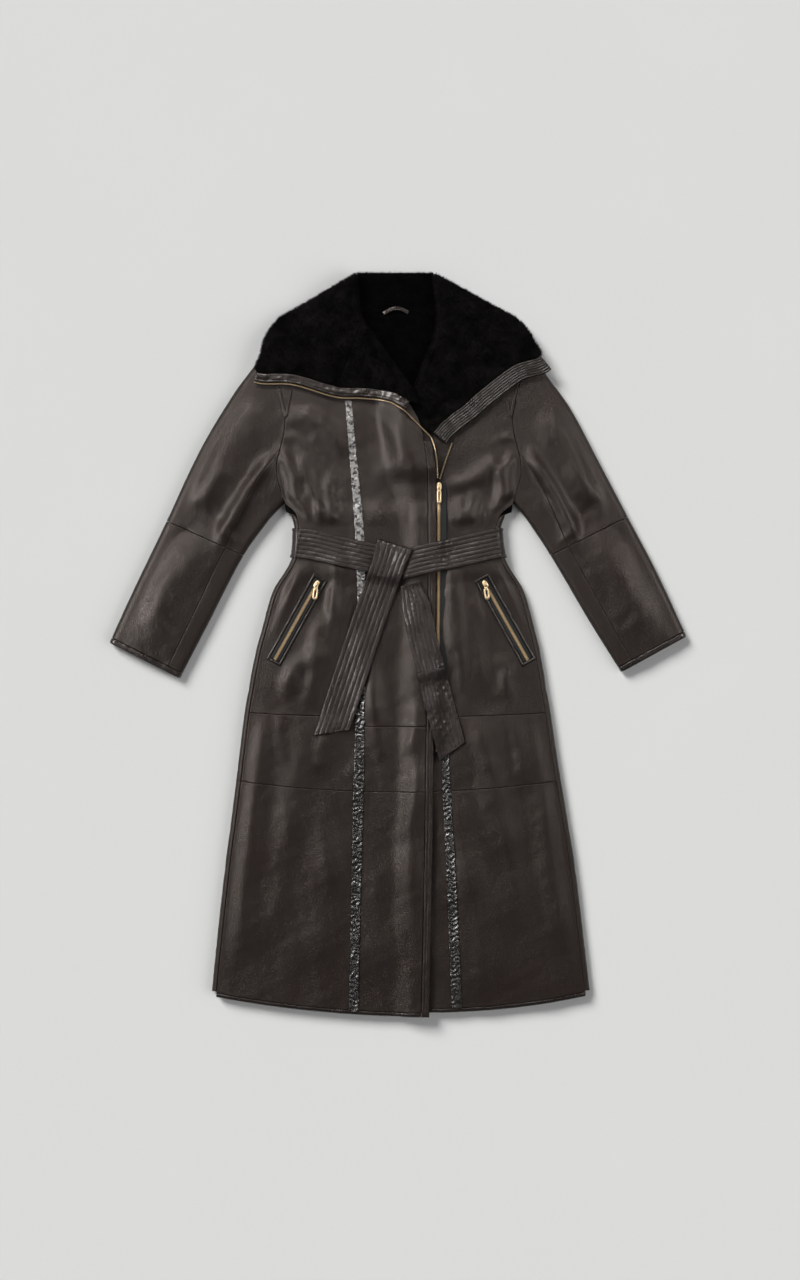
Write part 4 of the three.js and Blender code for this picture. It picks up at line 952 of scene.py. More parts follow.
@dataclass(frozen=True)
class GlossFinish:
    """Dark leather with a glassy finish, and silvery patches painted on as its glints."""

    dark: Colour = (0.008, 0.0068, 0.006)
    # painted highlight: the silvery colour of the glints, painted into the tape
    silver: Colour = (0.36, 0.345, 0.33)
    # below the first place in Y the painted glints are few, above the second many, at these noise levels
    bare_from: float = -0.12
    worn_from: float = 0.06
    little_worn: float = 0.6
    much_worn: float = 0.41

    def build(self, grain: bpy.types.NodeTree) -> bpy.types.Material:
        """Small silvery patches painted on dark leather under a clear coat as highlights, more of them
        towards the collar.

        The painted silver shows where noise passes a level, which falls from little_worn to much_worn
        between two places in Y.
        """
        tree = FinishTree("glossy leather tape")
        group = tree.add("ShaderNodeGroup", node_tree=grain, in_Vector=tree.place, in_Pebble=300.0)
        painted_highlight = tree.add(
            "ShaderNodeTexNoise", in_Vector=tree.place, in_Scale=150.0, in_Detail=5.0, in_Roughness=0.65
        )
        height = tree.add("ShaderNodeSeparateXYZ", in_Vector=tree.place).outputs["Y"]
        level = tree.add(
            "ShaderNodeMapRange",
            in_0=height,
            in_1=self.bare_from,
            in_2=self.worn_from,
            in_3=self.little_worn,
            in_4=self.much_worn,
        )
        above = tree.math("SUBTRACT", painted_highlight.outputs[0], level.outputs[0])
        # where the silvery colour, a painted highlight, is laid on
        glint_mask = tree.add("ShaderNodeMapRange", in_0=above, in_1=0.0, in_2=0.12)
        tree.colour(glint_mask.outputs[0], self.dark, self.silver)
        tree.rough(group.outputs["Mottle"], 0.16, 0.36)
        tree.bump(group.outputs["Height"], 0.8, 0.0004)
        return tree.fixed(
            Coat_Weight=0.7,
            Coat_Roughness=0.12,
            Specular_IOR_Level=0.5,
            Specular_Tint=(1.0, 0.95, 0.9, 1.0),
        )


@dataclass(frozen=True)
class FurFinish:
    """Black shorn fur with faint grey patches painted in as sheen."""

    name: str = "black fur"
    dark: Colour = (0.0012, 0.0011, 0.0011)
    # the lighter colour is painted sheen, laid on in soft patches
    light: Colour = (0.0105, 0.0092, 0.0086)

    def build(self, nap: bpy.types.NodeTree) -> bpy.types.Material:
        """Near-black with lighter patches painted in as sheen, fully rough, with a weak sheen and a fibre
        bump.
        """
        tree = FinishTree(self.name)
        group = tree.add("ShaderNodeGroup", node_tree=nap, in_Vector=tree.place)
        # painted sheen: lighter grey patches on the near-black fur
        painted_highlight = tree.add("ShaderNodeMapRange", in_0=group.outputs["Patch"], in_1=0.35, in_2=0.7)
        tree.colour(painted_highlight.outputs[0], self.dark, self.light)
        tree.bump(group.outputs["Height"], 1.0, 0.0012)
        return tree.fixed(
            Roughness=0.95,
            Specular_IOR_Level=0.04,
            Sheen_Weight=0.05,
            Sheen_Roughness=0.45,
            Sheen_Tint=(0.5, 0.46, 0.43, 1.0),
        )


@dataclass(frozen=True)
class MetalFinish:
    """Pale gold zip metal."""

    bright: Colour = (0.92, 0.70, 0.42)
    rough: float = 0.38

    def build(self) -> bpy.types.Material:
        """Metal whose roughness and colour vary a little, as if handled."""
        tree = FinishTree("pale gold")
        smear = tree.add("ShaderNodeTexNoise", in_Vector=tree.place, in_Scale=420.0, in_Detail=4.0)
        tree.rough(smear.outputs[0], self.rough - 0.08, self.rough + 0.14)
        tree.colour(smear.outputs[0], tuple(0.8 * value for value in self.bright), self.bright)
        return tree.fixed(Metallic=1.0)


@dataclass(frozen=True)
class ClothFinish:
    """The black woven tape of a zip."""

    threads: float = 150.0
    dark: Colour = (0.002, 0.002, 0.002)
    light: Colour = (0.006, 0.0056, 0.0052)

    def build(self) -> bpy.types.Material:
        """Near-black cloth with a fine crossed weave."""
        tree = FinishTree("zip tape")
        warp, weft = (
            tree.add("ShaderNodeTexWave", bands_direction=way, in_Vector=tree.place, in_Scale=self.threads)
            for way in ("X", "Y")
        )
        weave = tree.math("MULTIPLY", warp.outputs[1], weft.outputs[1])
        tree.colour(weave, self.dark, self.light)
        tree.bump(weave, 0.6, 0.0002)
        return tree.fixed(Roughness=0.8)


@dataclass(frozen=True)
class ThreadFinish:
    """Waxed dark brown thread."""

    twist: float = 300.0
    dark: Colour = (0.009, 0.007, 0.006)
    light: Colour = (0.024, 0.018, 0.015)

    def build(self) -> bpy.types.Material:
        """Brown thread with a fine twist in its colour."""
        tree = FinishTree("brown thread")
        strand = tree.add(
            "ShaderNodeTexWave", bands_direction="DIAGONAL", in_Vector=tree.place, in_Scale=self.twist
        )
        tree.colour(strand.outputs[1], self.dark, self.light)
        return tree.fixed(Roughness=0.6)


BELT_LEATHER = LeatherFinish(
    "belt leather", (0.0085, 0.0056, 0.0046), (0.0175, 0.0125, 0.0105), 0.36, 620.0, 0.0002, coat=0.2
)
BINDING_LEATHER = LeatherFinish(
    "binding leather", (0.0075, 0.005, 0.004), (0.0165, 0.012, 0.01), 0.28, 560.0, 0.00014, coat=0.35
)
# A darker copy of the black fur: painted shade for the nape and the neck lining, which lie low between the
# collar's rolls.
SHADED_FUR = FurFinish("deep black fur", (0.0005, 0.0005, 0.0005), (0.0022, 0.002, 0.0019))


class Finishes:
    """The coat's materials, each made once."""

    def __init__(self) -> None:
        """Builds the shared groups and every material."""
        grain = grain_group()
        nap = nap_group()
        self.leather = LeatherFinish().build(grain)
        self.belt = BELT_LEATHER.build(grain)
        self.gloss = GlossFinish().build(grain)
        self.binding = BINDING_LEATHER.build(grain)
        self.fur = FurFinish().build(nap)
        # the darker copy of the fur paints the shade between the collar's rolls
        self.deep_fur = SHADED_FUR.build(nap)
        self.gold = MetalFinish().build()
        self.tape = ClothFinish().build()
        self.thread = ThreadFinish().build()


# Pieces


@dataclass
class Fronts:
    """The two fronts: side and centre panels of the right one, and the left one, in three tiers."""

    tailor: Tailor
    finishes: Finishes
    cell: float = 5.5

    def build(self) -> None:
        """Makes the nine panels, each a sheet that stands for its solid."""

        def hem_right(x: Array) -> Array:
            return FORM.hem_right(x) + HEM_WIDE

        def hem_left(x: Array) -> Array:
            return FORM.hem_left(x) + HEM_WIDE

        low, high, top = FORM.seam_low, FORM.seam_high, FORM.shoulder_line
        # for each tier the lower lines of side, centre and left panel, the upper line and the centre's
        tiers = {
            "lower": (hem_right, hem_right, hem_left, low, low),
            "middle": (low, low, low, high, FORM.seam_centre),
            "upper": (high, FORM.seam_centre, high, top, top),
        }
        for tier, (low_right, low_centre, low_left, high, high_centre) in tiers.items():
            side = Panel(
                f"front_right_side_{tier}",
                lambda y: FORM.front_side(Side.RIGHT, y),
                FORM.tape_line,
                low_right,
                high,
                FORM.right_top,
            )
            centre = Panel(
                f"front_right_centre_{tier}",
                FORM.tape_line,
                FORM.facing_line,
                low_centre,
                high_centre,
                FORM.right_top,
            )
            left = Panel(
                f"front_left_{tier}",
                FORM.underlap_line,
                lambda y: FORM.front_side(Side.LEFT, y),
                low_left,
                high,
                FORM.left_top,
            )
            for panel in (side, centre, left):
                panel.cell = self.cell
                outer, inner = panel.grid()
                self.tailor.cloth(
                    f"leather_{panel.name}",
                    outer,
                    inner,
                    self.finishes.leather,
                    nodes=[panel.name],
                    lined=True,
                    rests_on=["leather_back_right_upper"],
                )


@dataclass
class Back:
    """The back: two halves in two tiers, rolled round the side edges up to the side seams."""

    tailor: Tailor
    finishes: Finishes
    roll_cells: int = 14

    def build(self) -> None:
        """Makes the four panels."""
        for side in Side:
            for tier in ("lower", "upper"):
                low = (lambda x: FORM.hem_back(x) + HEM_WIDE) if tier == "lower" else FORM.seam_low
                high = FORM.seam_low if tier == "lower" else FORM.shoulder_line
                outer, inner = self.grid(side, low, high)
                name = f"back_{side.word}_{tier}"
                self.tailor.cloth(
                    f"leather_{name}", outer, inner, self.finishes.leather, nodes=[name], lined=True
                )

    def grid(self, side: Side, lower: Line, upper: Line) -> tuple[Array, Array]:
        """Flat from the centre seam outwards, then half round the edge.

        The half round has its middle a radius in from the side and a radius up, and above the
        armpit it opens out flat to the armhole. Rows follow the end lines.
        """
        sign = side.value
        guess_low, guess_high = float(lower(0.0)), float(upper(0.0))
        v = graded(guess_high - guess_low, 7.0)
        edge_y = lerp(guess_low, guess_high, v)
        for _ in range(3):
            rim = self.rim(side, edge_y)
            edge_y = lerp(lower(rim) + GAP / 2, upper(rim) - GAP / 2, v)
        rim = self.rim(side, edge_y)
        middle = (rim - sign * EDGE)[:, None]
        turn = (1 - smooth(edge_y, ARMPIT_Y - 24, ARMPIT_Y - 12))[:, None]
        u = np.linspace(0, 1, 20)[None, :]
        x = lerp(CENTRE_BACK + sign * GAP / 2, middle, u)
        y = lerp(lower(x) + GAP / 2, upper(x) - GAP / 2, v[:, None])
        y[:, -1] = edge_y
        lift = FORM.belt_lift(y)
        angle = math.pi * (np.arange(1, self.roll_cells + 1) / self.roll_cells - 0.5)[None, :]
        flat = middle + sign * EDGE * (angle / math.pi + 0.5)
        curl_y = np.repeat(edge_y[:, None], self.roll_cells, axis=1)
        curl_lift = FORM.belt_lift(curl_y)
        ripple = 0.4 * undulation(curl_y, 9 * angle, 21, 30) * np.sin(angle + math.pi / 2) * turn

        def curl(radius: float, level: float) -> Array:
            bent_x = middle + sign * radius * np.cos(angle)
            bent_z = EDGE + radius * np.sin(angle)
            return np.stack([lerp(flat, bent_x, turn), curl_y, curl_lift + lerp(level, bent_z, turn)], -1)

        outer_curl = curl(EDGE, 0.0)
        outer_curl[..., 0] -= sign * np.abs(ripple)
        outer = np.concatenate([np.stack([x, y, lift], -1), outer_curl], 1)
        inner = np.concatenate([np.stack([x, y, lift + WALL], -1), curl(EDGE - WALL, WALL)], 1)
        return soften(outer, inner, Edges(0.8, 1.2, 0.8, 0.8), pucker=0.2), inner

    def rim(self, side: Side, y: Array) -> Array:
        """The back's outer boundary: the rolled edge, and above the armpit a straight armhole."""
        t = (np.maximum(y, ARMPIT_Y) - ARMPIT_Y) / (SHOULDER[1] - ARMPIT_Y)
        straight = lerp(ARMHOLE[0][1], -SHOULDER[0], t)
        shift = SIDE_SHIFT if side is Side.LEFT else 0
        open_edge = -side.value * straight - side.value * 0.45 + shift
        return np.where(y > ARMPIT_Y - 18, open_edge, FORM.side(side, y))


# Sleeves

# y and x along the inner and outer edge of each sleeve, from the armhole to the cuff
SLEEVE_INNER = {
    Side.RIGHT: ((239.7, -191.8), (212, -217.5), (150.6, -262), (29.8, -324.4), (-58.3, -370.1)),
    Side.LEFT: ((239.7, 194.8), (212, 217.5), (151, 258.6), (39.8, 324), (-47.6, 378.6)),
}
SLEEVE_OUTER = {
    Side.RIGHT: (
        (503, -221),
        (469.9, -245.5),
        (424.5, -278.8),
        (329.6, -335.8),
        (209.4, -392.5),
        (90.4, -449.7),
        (2.6, -489.8),
    ),
    Side.LEFT: (
        (503, 224),
        (458, 251),
        (403.1, 290.4),
        (301.6, 345.1),
        (216.4, 389.8),
        (124.1, 438.3),
        (13.6, 489.8),
    ),
}
# y of the elbow seam at the inner and outer edge
ELBOW = {Side.RIGHT: (150.6, 209.4), Side.LEFT: (151.0, 216.4)}
# The front seam of a sleeve at armhole, elbow and cuff, as a share of the width
SLEEVE_SEAM = (0.349, 0.225, 0.2)
HIND_SEAM = 20.0
CUFF_FROM = 1.957


class SleeveForm:
    """A flattened tube from the armhole over the elbow to the cuff.

    t runs along it: 0 at the armhole, 1 at the elbow, 2 at the cuff. s runs round it in millimetres,
    from the inner edge over the top, round the outer edge, back along the underside and round the
    inner edge.
    """

    def __init__(self, side: Side) -> None:
        """Reads the sleeve's edge lines."""
        self.side = side
        self.shift = SIDE_SHIFT if side is Side.LEFT else 0.0
        self.inner = track(*columns(SLEEVE_INNER[side]))
        self.outer = track(*columns(SLEEVE_OUTER[side]))
        self.marks = (
            (ARMPIT_Y, ELBOW[side][0], SLEEVE_INNER[side][-1][0]),
            (SHOULDER[1], ELBOW[side][1], SLEEVE_OUTER[side][-1][0]),
        )

    def edges(self, t: Array) -> tuple[Array, Array, Array, Array]:
        """x and y of the inner and of the outer edge at t."""
        inner_y, outer_y = (np.interp(t, (0, 1, 2), mark) for mark in self.marks)
        return self.inner(inner_y), inner_y, self.outer(outer_y), outer_y

    def wide(self, t: Array) -> Array:
        """The tube's width laid flat."""
        ax, ay, bx, by = self.edges(t)
        return np.hypot(bx - ax, by - ay)

    def plan(self, t: Array, u: Array, curved: Array) -> tuple[Array, Array]:
        """x and y at share u of the width, bent near t 0 to follow the armhole's curve."""
        ax, ay, bx, by = self.edges(t)
        sx, _, ex, _ = self.edges(np.zeros(1))
        armhole = -self.side.value * FORM.armhole_right(lerp(ARMPIT_Y, SHOULDER[1], u)) + self.shift
        near = 1 - np.minimum(t, 1)
        bend = curved * (armhole - lerp(sx, ex, u)) * near**2
        return lerp(ax, bx, u) + bend + self.side.value * 0.6 * near, lerp(ay, by, u)

    def tube(self, t: Array, s: Array) -> tuple[Array, Array]:
        """Outer and inner points at t, a column, and s, a row or a grid."""
        t, s = np.broadcast_arrays(t, s)
        wide = self.wide(t)
        flat, half = wide - 2 * EDGE, math.pi * EDGE
        s = np.mod(s, 2 * (flat + half))
        over, round_out, under = s < flat, s < flat + half, s < 2 * flat + half
        outward, inward = (s - flat) / EDGE, (s - 2 * flat - half) / EDGE
        angle = np.where(round_out, math.pi / 2 - outward, inward - math.pi / 2)
        u = np.select(
            [over, round_out, under],
            [(EDGE + s) / wide, 1 - EDGE / wide, 1 - (EDGE + s - flat - half) / wide],
            EDGE / wide,
        )
        turn = np.where(over | (under & ~round_out), 0.0, np.where(round_out, 1.0, -1.0))
        curved = np.where(over, smooth(np.minimum(s, flat - s), 0, 14), 0.0)
        points = []
        for radius in (EDGE, EDGE - WALL):
            x, y = self.plan(t, u + turn * radius * np.cos(angle) / wide, curved)
            rise = PUFF + self.relief(x, y)
            top = 2 * EDGE + rise * smooth(np.minimum(s, flat - s), 0, SETTLE) - (EDGE - radius)
            z = np.where(over, top, np.where(turn == 0, EDGE - radius, EDGE + radius * np.sin(angle)))
            points.append(np.stack([x, y, z], -1))
        return points[0], points[1]

    def relief(self, x: Array, y: Array) -> Array:
        """Folds and the skin's own creases."""
        folds = sum(fold.height(x, y) for fold in FOLDS)
        return (folds + FORM.skin(x, y)) * (1 - smooth(y, 392, 425))


@dataclass
class Sleeves:
    """Both sleeves: top and under pieces, parted at the elbow, and the bound cuffs."""

    tailor: Tailor
    finishes: Finishes
    cell: float = 6.0

    def build(self) -> None:
        """Makes four panels and a cuff a side."""
        for side in Side:
            form = SleeveForm(side)
            for half, tier in enumerate(("upper", "lower")):
                for piece in ("top", "under"):
                    self.panel(form, half, tier, piece)
            self.cuff(form)

    def panel(self, form: SleeveForm, half: int, tier: str, piece: str) -> None:
        """One panel, from seam to seam round the tube.

        Args:
            form: the sleeve's form.
            half: 0 above the elbow, 1 below it.
            tier: the word for that half.
            piece: top or under.
        """
        ends = (0.0, 0.9992) if half == 0 else (1.0008, CUFF_FROM - 0.001)
        _, _, bx, by = form.edges(np.array(ends))
        long = float(np.hypot(np.diff(bx), np.diff(by))[0])
        t = lerp(ends[0], ends[1], graded(long, self.cell))[:, None]
        wide = form.wide(t)
        flat, bend = wide - 2 * EDGE, math.pi * EDGE
        seam = np.interp(t, (0, 1, 2), SLEEVE_SEAM) * wide - EDGE
        hind = flat + bend + HIND_SEAM - EDGE
        gap = GAP / 2
        start, end = seam + gap, hind - gap
        if piece == "under":
            start, end = hind + gap, 2 * (flat + bend) + seam - gap
        u = graded(float(np.mean(end - start)), self.cell)[None, :]
        outer, inner = form.tube(t, lerp(start, end, u))
        name = f"sleeve_{form.side.word}_{piece}_{tier}"
        outer = soften(outer, inner, Edges(1.3, 1.3, 1.2, 1.2))
        self.tailor.cloth(f"leather_{name}", outer, inner, self.finishes.leather, nodes=[name], lined=True)

    def cuff(self, form: SleeveForm) -> None:
        """The glossy binding round the sleeve's end: a ring with a rounded lower edge."""
        t = CUFF_FROM + (2 - CUFF_FROM) * np.array([0, 0.08, 0.2, 0.4, 0.6, 0.8, 0.92, 1.0])
        wide = float(form.wide(np.array([2.0]))[0])
        loop = 2 * (wide - 2 * EDGE + math.pi * EDGE)
        share = np.linspace(0, 1, 121)[:-1, None]
        outer, inner = form.tube(t[None, :], share * loop * (form.wide(t) / wide)[None, :])
        outer = soften(outer, inner, Edges(1.6, 3.0, 0, 0), pucker=0.25, ring=True)
        name = f"cuff_{form.side.word}"
        self.tailor.shell(f"binding_{name}", outer, inner, self.finishes.binding, nodes=[name], ring=True)


@dataclass
class Hems:
    """Strips that finish the lower edges of the fronts and the back."""

    tailor: Tailor
    finishes: Finishes

    def build(self) -> None:
        """Makes the three strips."""
        sides = [float(FORM.side(side, -600)) - side.value * EDGE for side in Side]
        edge = float(FORM.front_edge(-631))
        runs = (
            ("hem_right", FORM.hem_right, sides[0], edge - FACING_WIDE - GAP, FORM.right_top),
            ("hem_left", FORM.hem_left, edge - 16, sides[1], FORM.left_top),
            ("hem_back", FORM.hem_back, sides[0], sides[1], lambda x, y: WALL + 0 * x),
        )
        for name, line, start, end, top in runs:
            x = lerp(start, end, graded(end - start, 6.0))[:, None]
            across = np.array([0, 0.06, 0.16, 0.3, 0.5, 0.7, 0.84, 0.94, 1])[None, :]
            y = line(x) + lerp(0.0, HEM_WIDE - GAP, across)
            x = x + 0 * y
            level = top(x, y)
            outer = np.stack([x, y, level + 0.7], -1)
            inner = np.stack([x, y, level - WALL], -1)
            outer = soften(outer, inner, Edges(3.4, 1.2, 0.8, 0.8), pucker=0.22)
            self.tailor.cloth(f"binding_{name}", outer, inner, self.finishes.binding, nodes=[name])


@dataclass
class Placket:
    """The bound strip down the right front's edge, with a raised fold and two rows of stitches."""

    tailor: Tailor
    finishes: Finishes
    top_y: float = 344.0

    def build(self) -> None:
        """A strip with a rounded fold that ends at the chest and, below the belt, a groove beside it.

        Fold and groove are bell curves across the strip, and both waver slowly along it.
        """
        low = float(FORM.hem_right(50))
        y = lerp(low, self.top_y, graded(self.top_y - low, 5.0))[:, None]
        shares = (0, 0.05, 0.14, 0.25, 0.34, 0.4, 0.46, 0.52, 0.6, 0.7, 0.82, 0.92, 0.97, 1)
        across = np.array(shares)[None, :]
        x = lerp(FORM.facing_line(y) + 0.4, FORM.front_edge(y), across)
        y = y + 0 * x
        level = FORM.right_top(x, y) + BOUND_RISE
        groove = 0.9 * np.exp(-(((across - 0.4) / 0.06) ** 2)) * smooth(-y, -130, -90)
        swell = 0.35 * undulation(x * 3, y, 31, 14) * (0.4 + 0.6 * smooth(-y, -120, 60))
        fold = 1.1 * np.exp(-(((across - 0.25) / 0.1) ** 2)) * (1 + 0.4 * undulation(x, 3 * y, 33, 18))
        outer = np.stack([x, y, level - groove + swell + fold * smooth(-y, -330, -290)], -1)
        inner = np.stack([x, y, level - WALL], -1)
        outer = soften(outer, inner, Edges(1.2, 3.0, 1.5, 1.5), pucker=0.2)
        lines = [outer[2:-2, column] + SHALLOW_THREAD_RISE for column in (2, 5)]
        Stitching(self.tailor, self.finishes).sew("stitches_facing_right", lines)
        self.tailor.cloth(
            "binding_facing_right", outer, inner, self.finishes.leather, nodes=["facing_right"]
        )


@dataclass
class SeamTape:
    """A shiny leather tape over a long seam, drawn up into cross puckers."""

    tailor: Tailor
    finishes: Finishes
    side: Side
    rows: Sequence[Sequence[float]]
    top: Field
    seed: int

    def build(self) -> None:
        """The tape's height is its thickness plus puckers that run across it.

        The puckers are a sine along the tape whose phase and strength drift, with finer ones on top.
        They are strongest below the belt.
        """
        at_y, at_x, wide = columns(self.rows)
        middle, width = track(at_y, at_x), track(at_y, wide)
        low, high = min(at_y), max(at_y)
        y = lerp(low, high, graded(high - low, 1.35))[:, None]
        across = np.array([0, 0.03, 0.09, 0.18, 0.3, 0.42, 0.5, 0.58, 0.7, 0.82, 0.91, 0.97, 1])[None, :]
        half = width(y) / 2 + 0.45 * undulation(0 * y, y, self.seed + 1, 11)
        x = middle(y) + half * (2 * across - 1)
        y = y + 0 * x
        below = 0.45 + 0.55 * smooth(-y, -BELT_Y + 20, -BELT_Y + 70)
        sway = 1.5 * undulation(2.2 * x, y, self.seed + 2, 34)
        strength = 0.7 + 0.3 * undulation(x, y, self.seed + 3, 28)
        pucker = below * strength * (1.5 * np.sin(y / 1.4 + 2 * sway) + 0.3 * np.sin(y / 0.7 - 3 * sway))
        crown = 1 - (2 * across - 1) ** 4
        rail = 0.5 * np.exp(-(((np.abs(2 * across - 1) - 0.86) / 0.07) ** 2))
        level = self.top(x, y)
        outer = np.stack([x, y, level + 1.7 + crown * pucker + rail], -1)
        inner = np.stack([x, y, level + 0.25], -1)
        outer = soften(outer, inner, Edges(0.8, 0.8, 0.6, 0.6), pucker=0)
        name = f"seam_tape_{self.side.word}"
        self.tailor.cloth(f"shiny_{name}", outer, inner, self.finishes.gloss, "shiny_tape", [name])


# Collar

# The roll and the free edge of each wing, row by row from the nape to the lapel's end:
# roll x, roll y, the level that the roll rises from, free x, free y
WING_ROWS = {
    Side.RIGHT: (
        (-69.7, 629, 0.4, -201.6, 554.9),
        (-68, 602, 0.4, -223.4, 524.6),
        (-67, 588, 0.4, -232.4, 493.2),
        (-66.5, 582, 0.4, -238, 461.5),
        (-65, 569, 8.8, -175, 457),
        (-59.5, 549, 8.8, -104, 436.5),
        (-35, 515, 8.8, -64, 434.5),
        (-5.8, 471.4, 8.8, -30, 431.5),
        (11.9, 447.1, 9.5, -8, 426),
        (20.5, 436, 31.8, 3, 420.5),
        (34, 408, 31.8, 20, 410),
    ),
    Side.LEFT: (
        (60.4, 629, 0.4, 200.6, 554.9),
        (62.5, 602, 0.4, 219.5, 534),
        (64.5, 588, 0.4, 230, 515.1),
        (65.5, 582, 0.4, 240.9, 488.4),
        (66.3, 569, 8.8, 196, 472.5),
        (66.3, 543, 8.8, 141, 431.5),
        (60.4, 515, 8.8, 123, 415.5),
        (47, 483, 8.8, 108, 402.5),
        (34, 449.7, 8.8, 92, 391),
        (19.6, 406.3, 8.8, 72, 374),
        (20.5, 375, 8.8, 59, 358.5),
    ),
}
BOUND_FROM = 3
LAPEL_FROM = 5
LAST_ROW = 10
BINDING_WIDE = 15.5
BAND_WIDE = 29.0
BESIDE = 0.7


class WingForm:
    """A collar wing and its lapel, which rise at the roll and lie out to a free edge."""

    def __init__(self, side: Side) -> None:
        """Reads the side's rows as smooth curves over the row number."""
        self.side = side
        roll_x, roll_y, self.low, free_x, free_y = columns(WING_ROWS[side])
        number = np.arange(LAST_ROW + 1.0)
        self.roll_x, self.roll_y = track(number, roll_x), track(number, roll_y)
        self.free_x, self.free_y = track(number, free_x), track(number, free_y)
        self.inner_edge = track(roll_y, roll_x)

    def level(self, x: Array, y: Array) -> Array:
        """The upper surface: the solid's, with soft clumps of pile."""
        clumps = 0.7 * undulation(x, y, 41 + self.side.value, 21) + 0.5 * undulation(x, y, 43, 60)
        return FORM.wing_top(self.side, x, y) + clumps

    def grid(self, start: float, end: float, cell: float) -> tuple[Array, Array]:
        """Outer and inner points between two rows: up the roll, round it and out to the free edge."""
        long = float(np.hypot(self.roll_x(end) - self.roll_x(start), self.roll_y(end) - self.roll_y(start)))
        free = float(np.hypot(self.free_x(end) - self.free_x(start), self.free_y(end) - self.free_y(start)))
        at = lerp(start, end, graded(max(long, free), cell))[:, None]
        rx, ry, fx, fy = self.roll_x(at), self.roll_y(at), self.free_x(at), self.free_y(at)
        reach = np.hypot(fx - rx, fy - ry)
        ax, ay = (fx - rx) / reach, (fy - ry) / reach
        low = np.interp(at, np.arange(LAST_ROW + 1.0), self.low)
        crest = FORM.wing_top(self.side, rx + EDGE * ax, ry + EDGE * ay)
        rise = np.linspace(0, 1, 6)[None, :-1]
        angle = (math.pi / 2) * (1 - np.linspace(0, 1, 9))[None, :]
        u = graded(float(np.median(reach)), cell)[None, 1:]
        out = lerp(EDGE, np.maximum(reach, EDGE + 2), u)
        grids = []
        for radius, inset in ((EDGE, 0.0), (EDGE - WALL, WALL)):
            s = np.concatenate([inset + 0 * reach * rise, EDGE - radius * np.sin(angle) + 0 * reach, out], 1)
            x, y = rx + ax * s, ry + ay * s
            wall = lerp(low, crest - EDGE, rise)
            bend = crest - EDGE + radius * np.cos(angle)
            over = self.level(x[:, -out.shape[1] :], y[:, -out.shape[1] :]) - inset
            grids.append(np.stack([x, y, np.concatenate([wall, bend, over], 1)], -1))
        return grids[0], grids[1]

    def edge_strip(self, wide: float, across: Array, cell: float) -> tuple[Array, Array]:
        """x and y of a strip beside the free edge, from the outer corner to the lapel's end.

        Args:
            wide: the strip's width.
            across: shares of the width, from the wing outwards.
            cell: the spacing along the strip.
        """
        at = np.linspace(BOUND_FROM, LAST_ROW, 400)
        x, y = self.free_x(at), self.free_y(at)
        run = np.concatenate([[0], np.hypot(np.diff(x), np.diff(y)).cumsum()])
        at = np.interp(run[-1] * graded(run[-1], cell), run, at)
        ahead, behind = np.minimum(at + 0.12, LAST_ROW), np.maximum(at - 0.12, BOUND_FROM)
        dx, dy = self.free_x(ahead) - self.free_x(behind), self.free_y(ahead) - self.free_y(behind)
        long = np.hypot(dx, dy)
        flip = np.where(-dx > 0, -1.0, 1.0)
        sx, sy = flip * dy / long, flip * -dx / long
        off = BESIDE + wide * across[None, :]
        return self.free_x(at)[:, None] + sx[:, None] * off, self.free_y(at)[:, None] + sy[:, None] * off


@dataclass(frozen=True)
class Pile:
    """How fur stands on a surface.

    Args:
        density: tufts a square millimetre.
        long: their length in millimetres.
        thick: their width at the root.
        lean: how far they lie over, as a share of their length.
    """

    density: float = 0.5
    long: float = 4.2
    thick: float = 1.0
    lean: float = 0.75


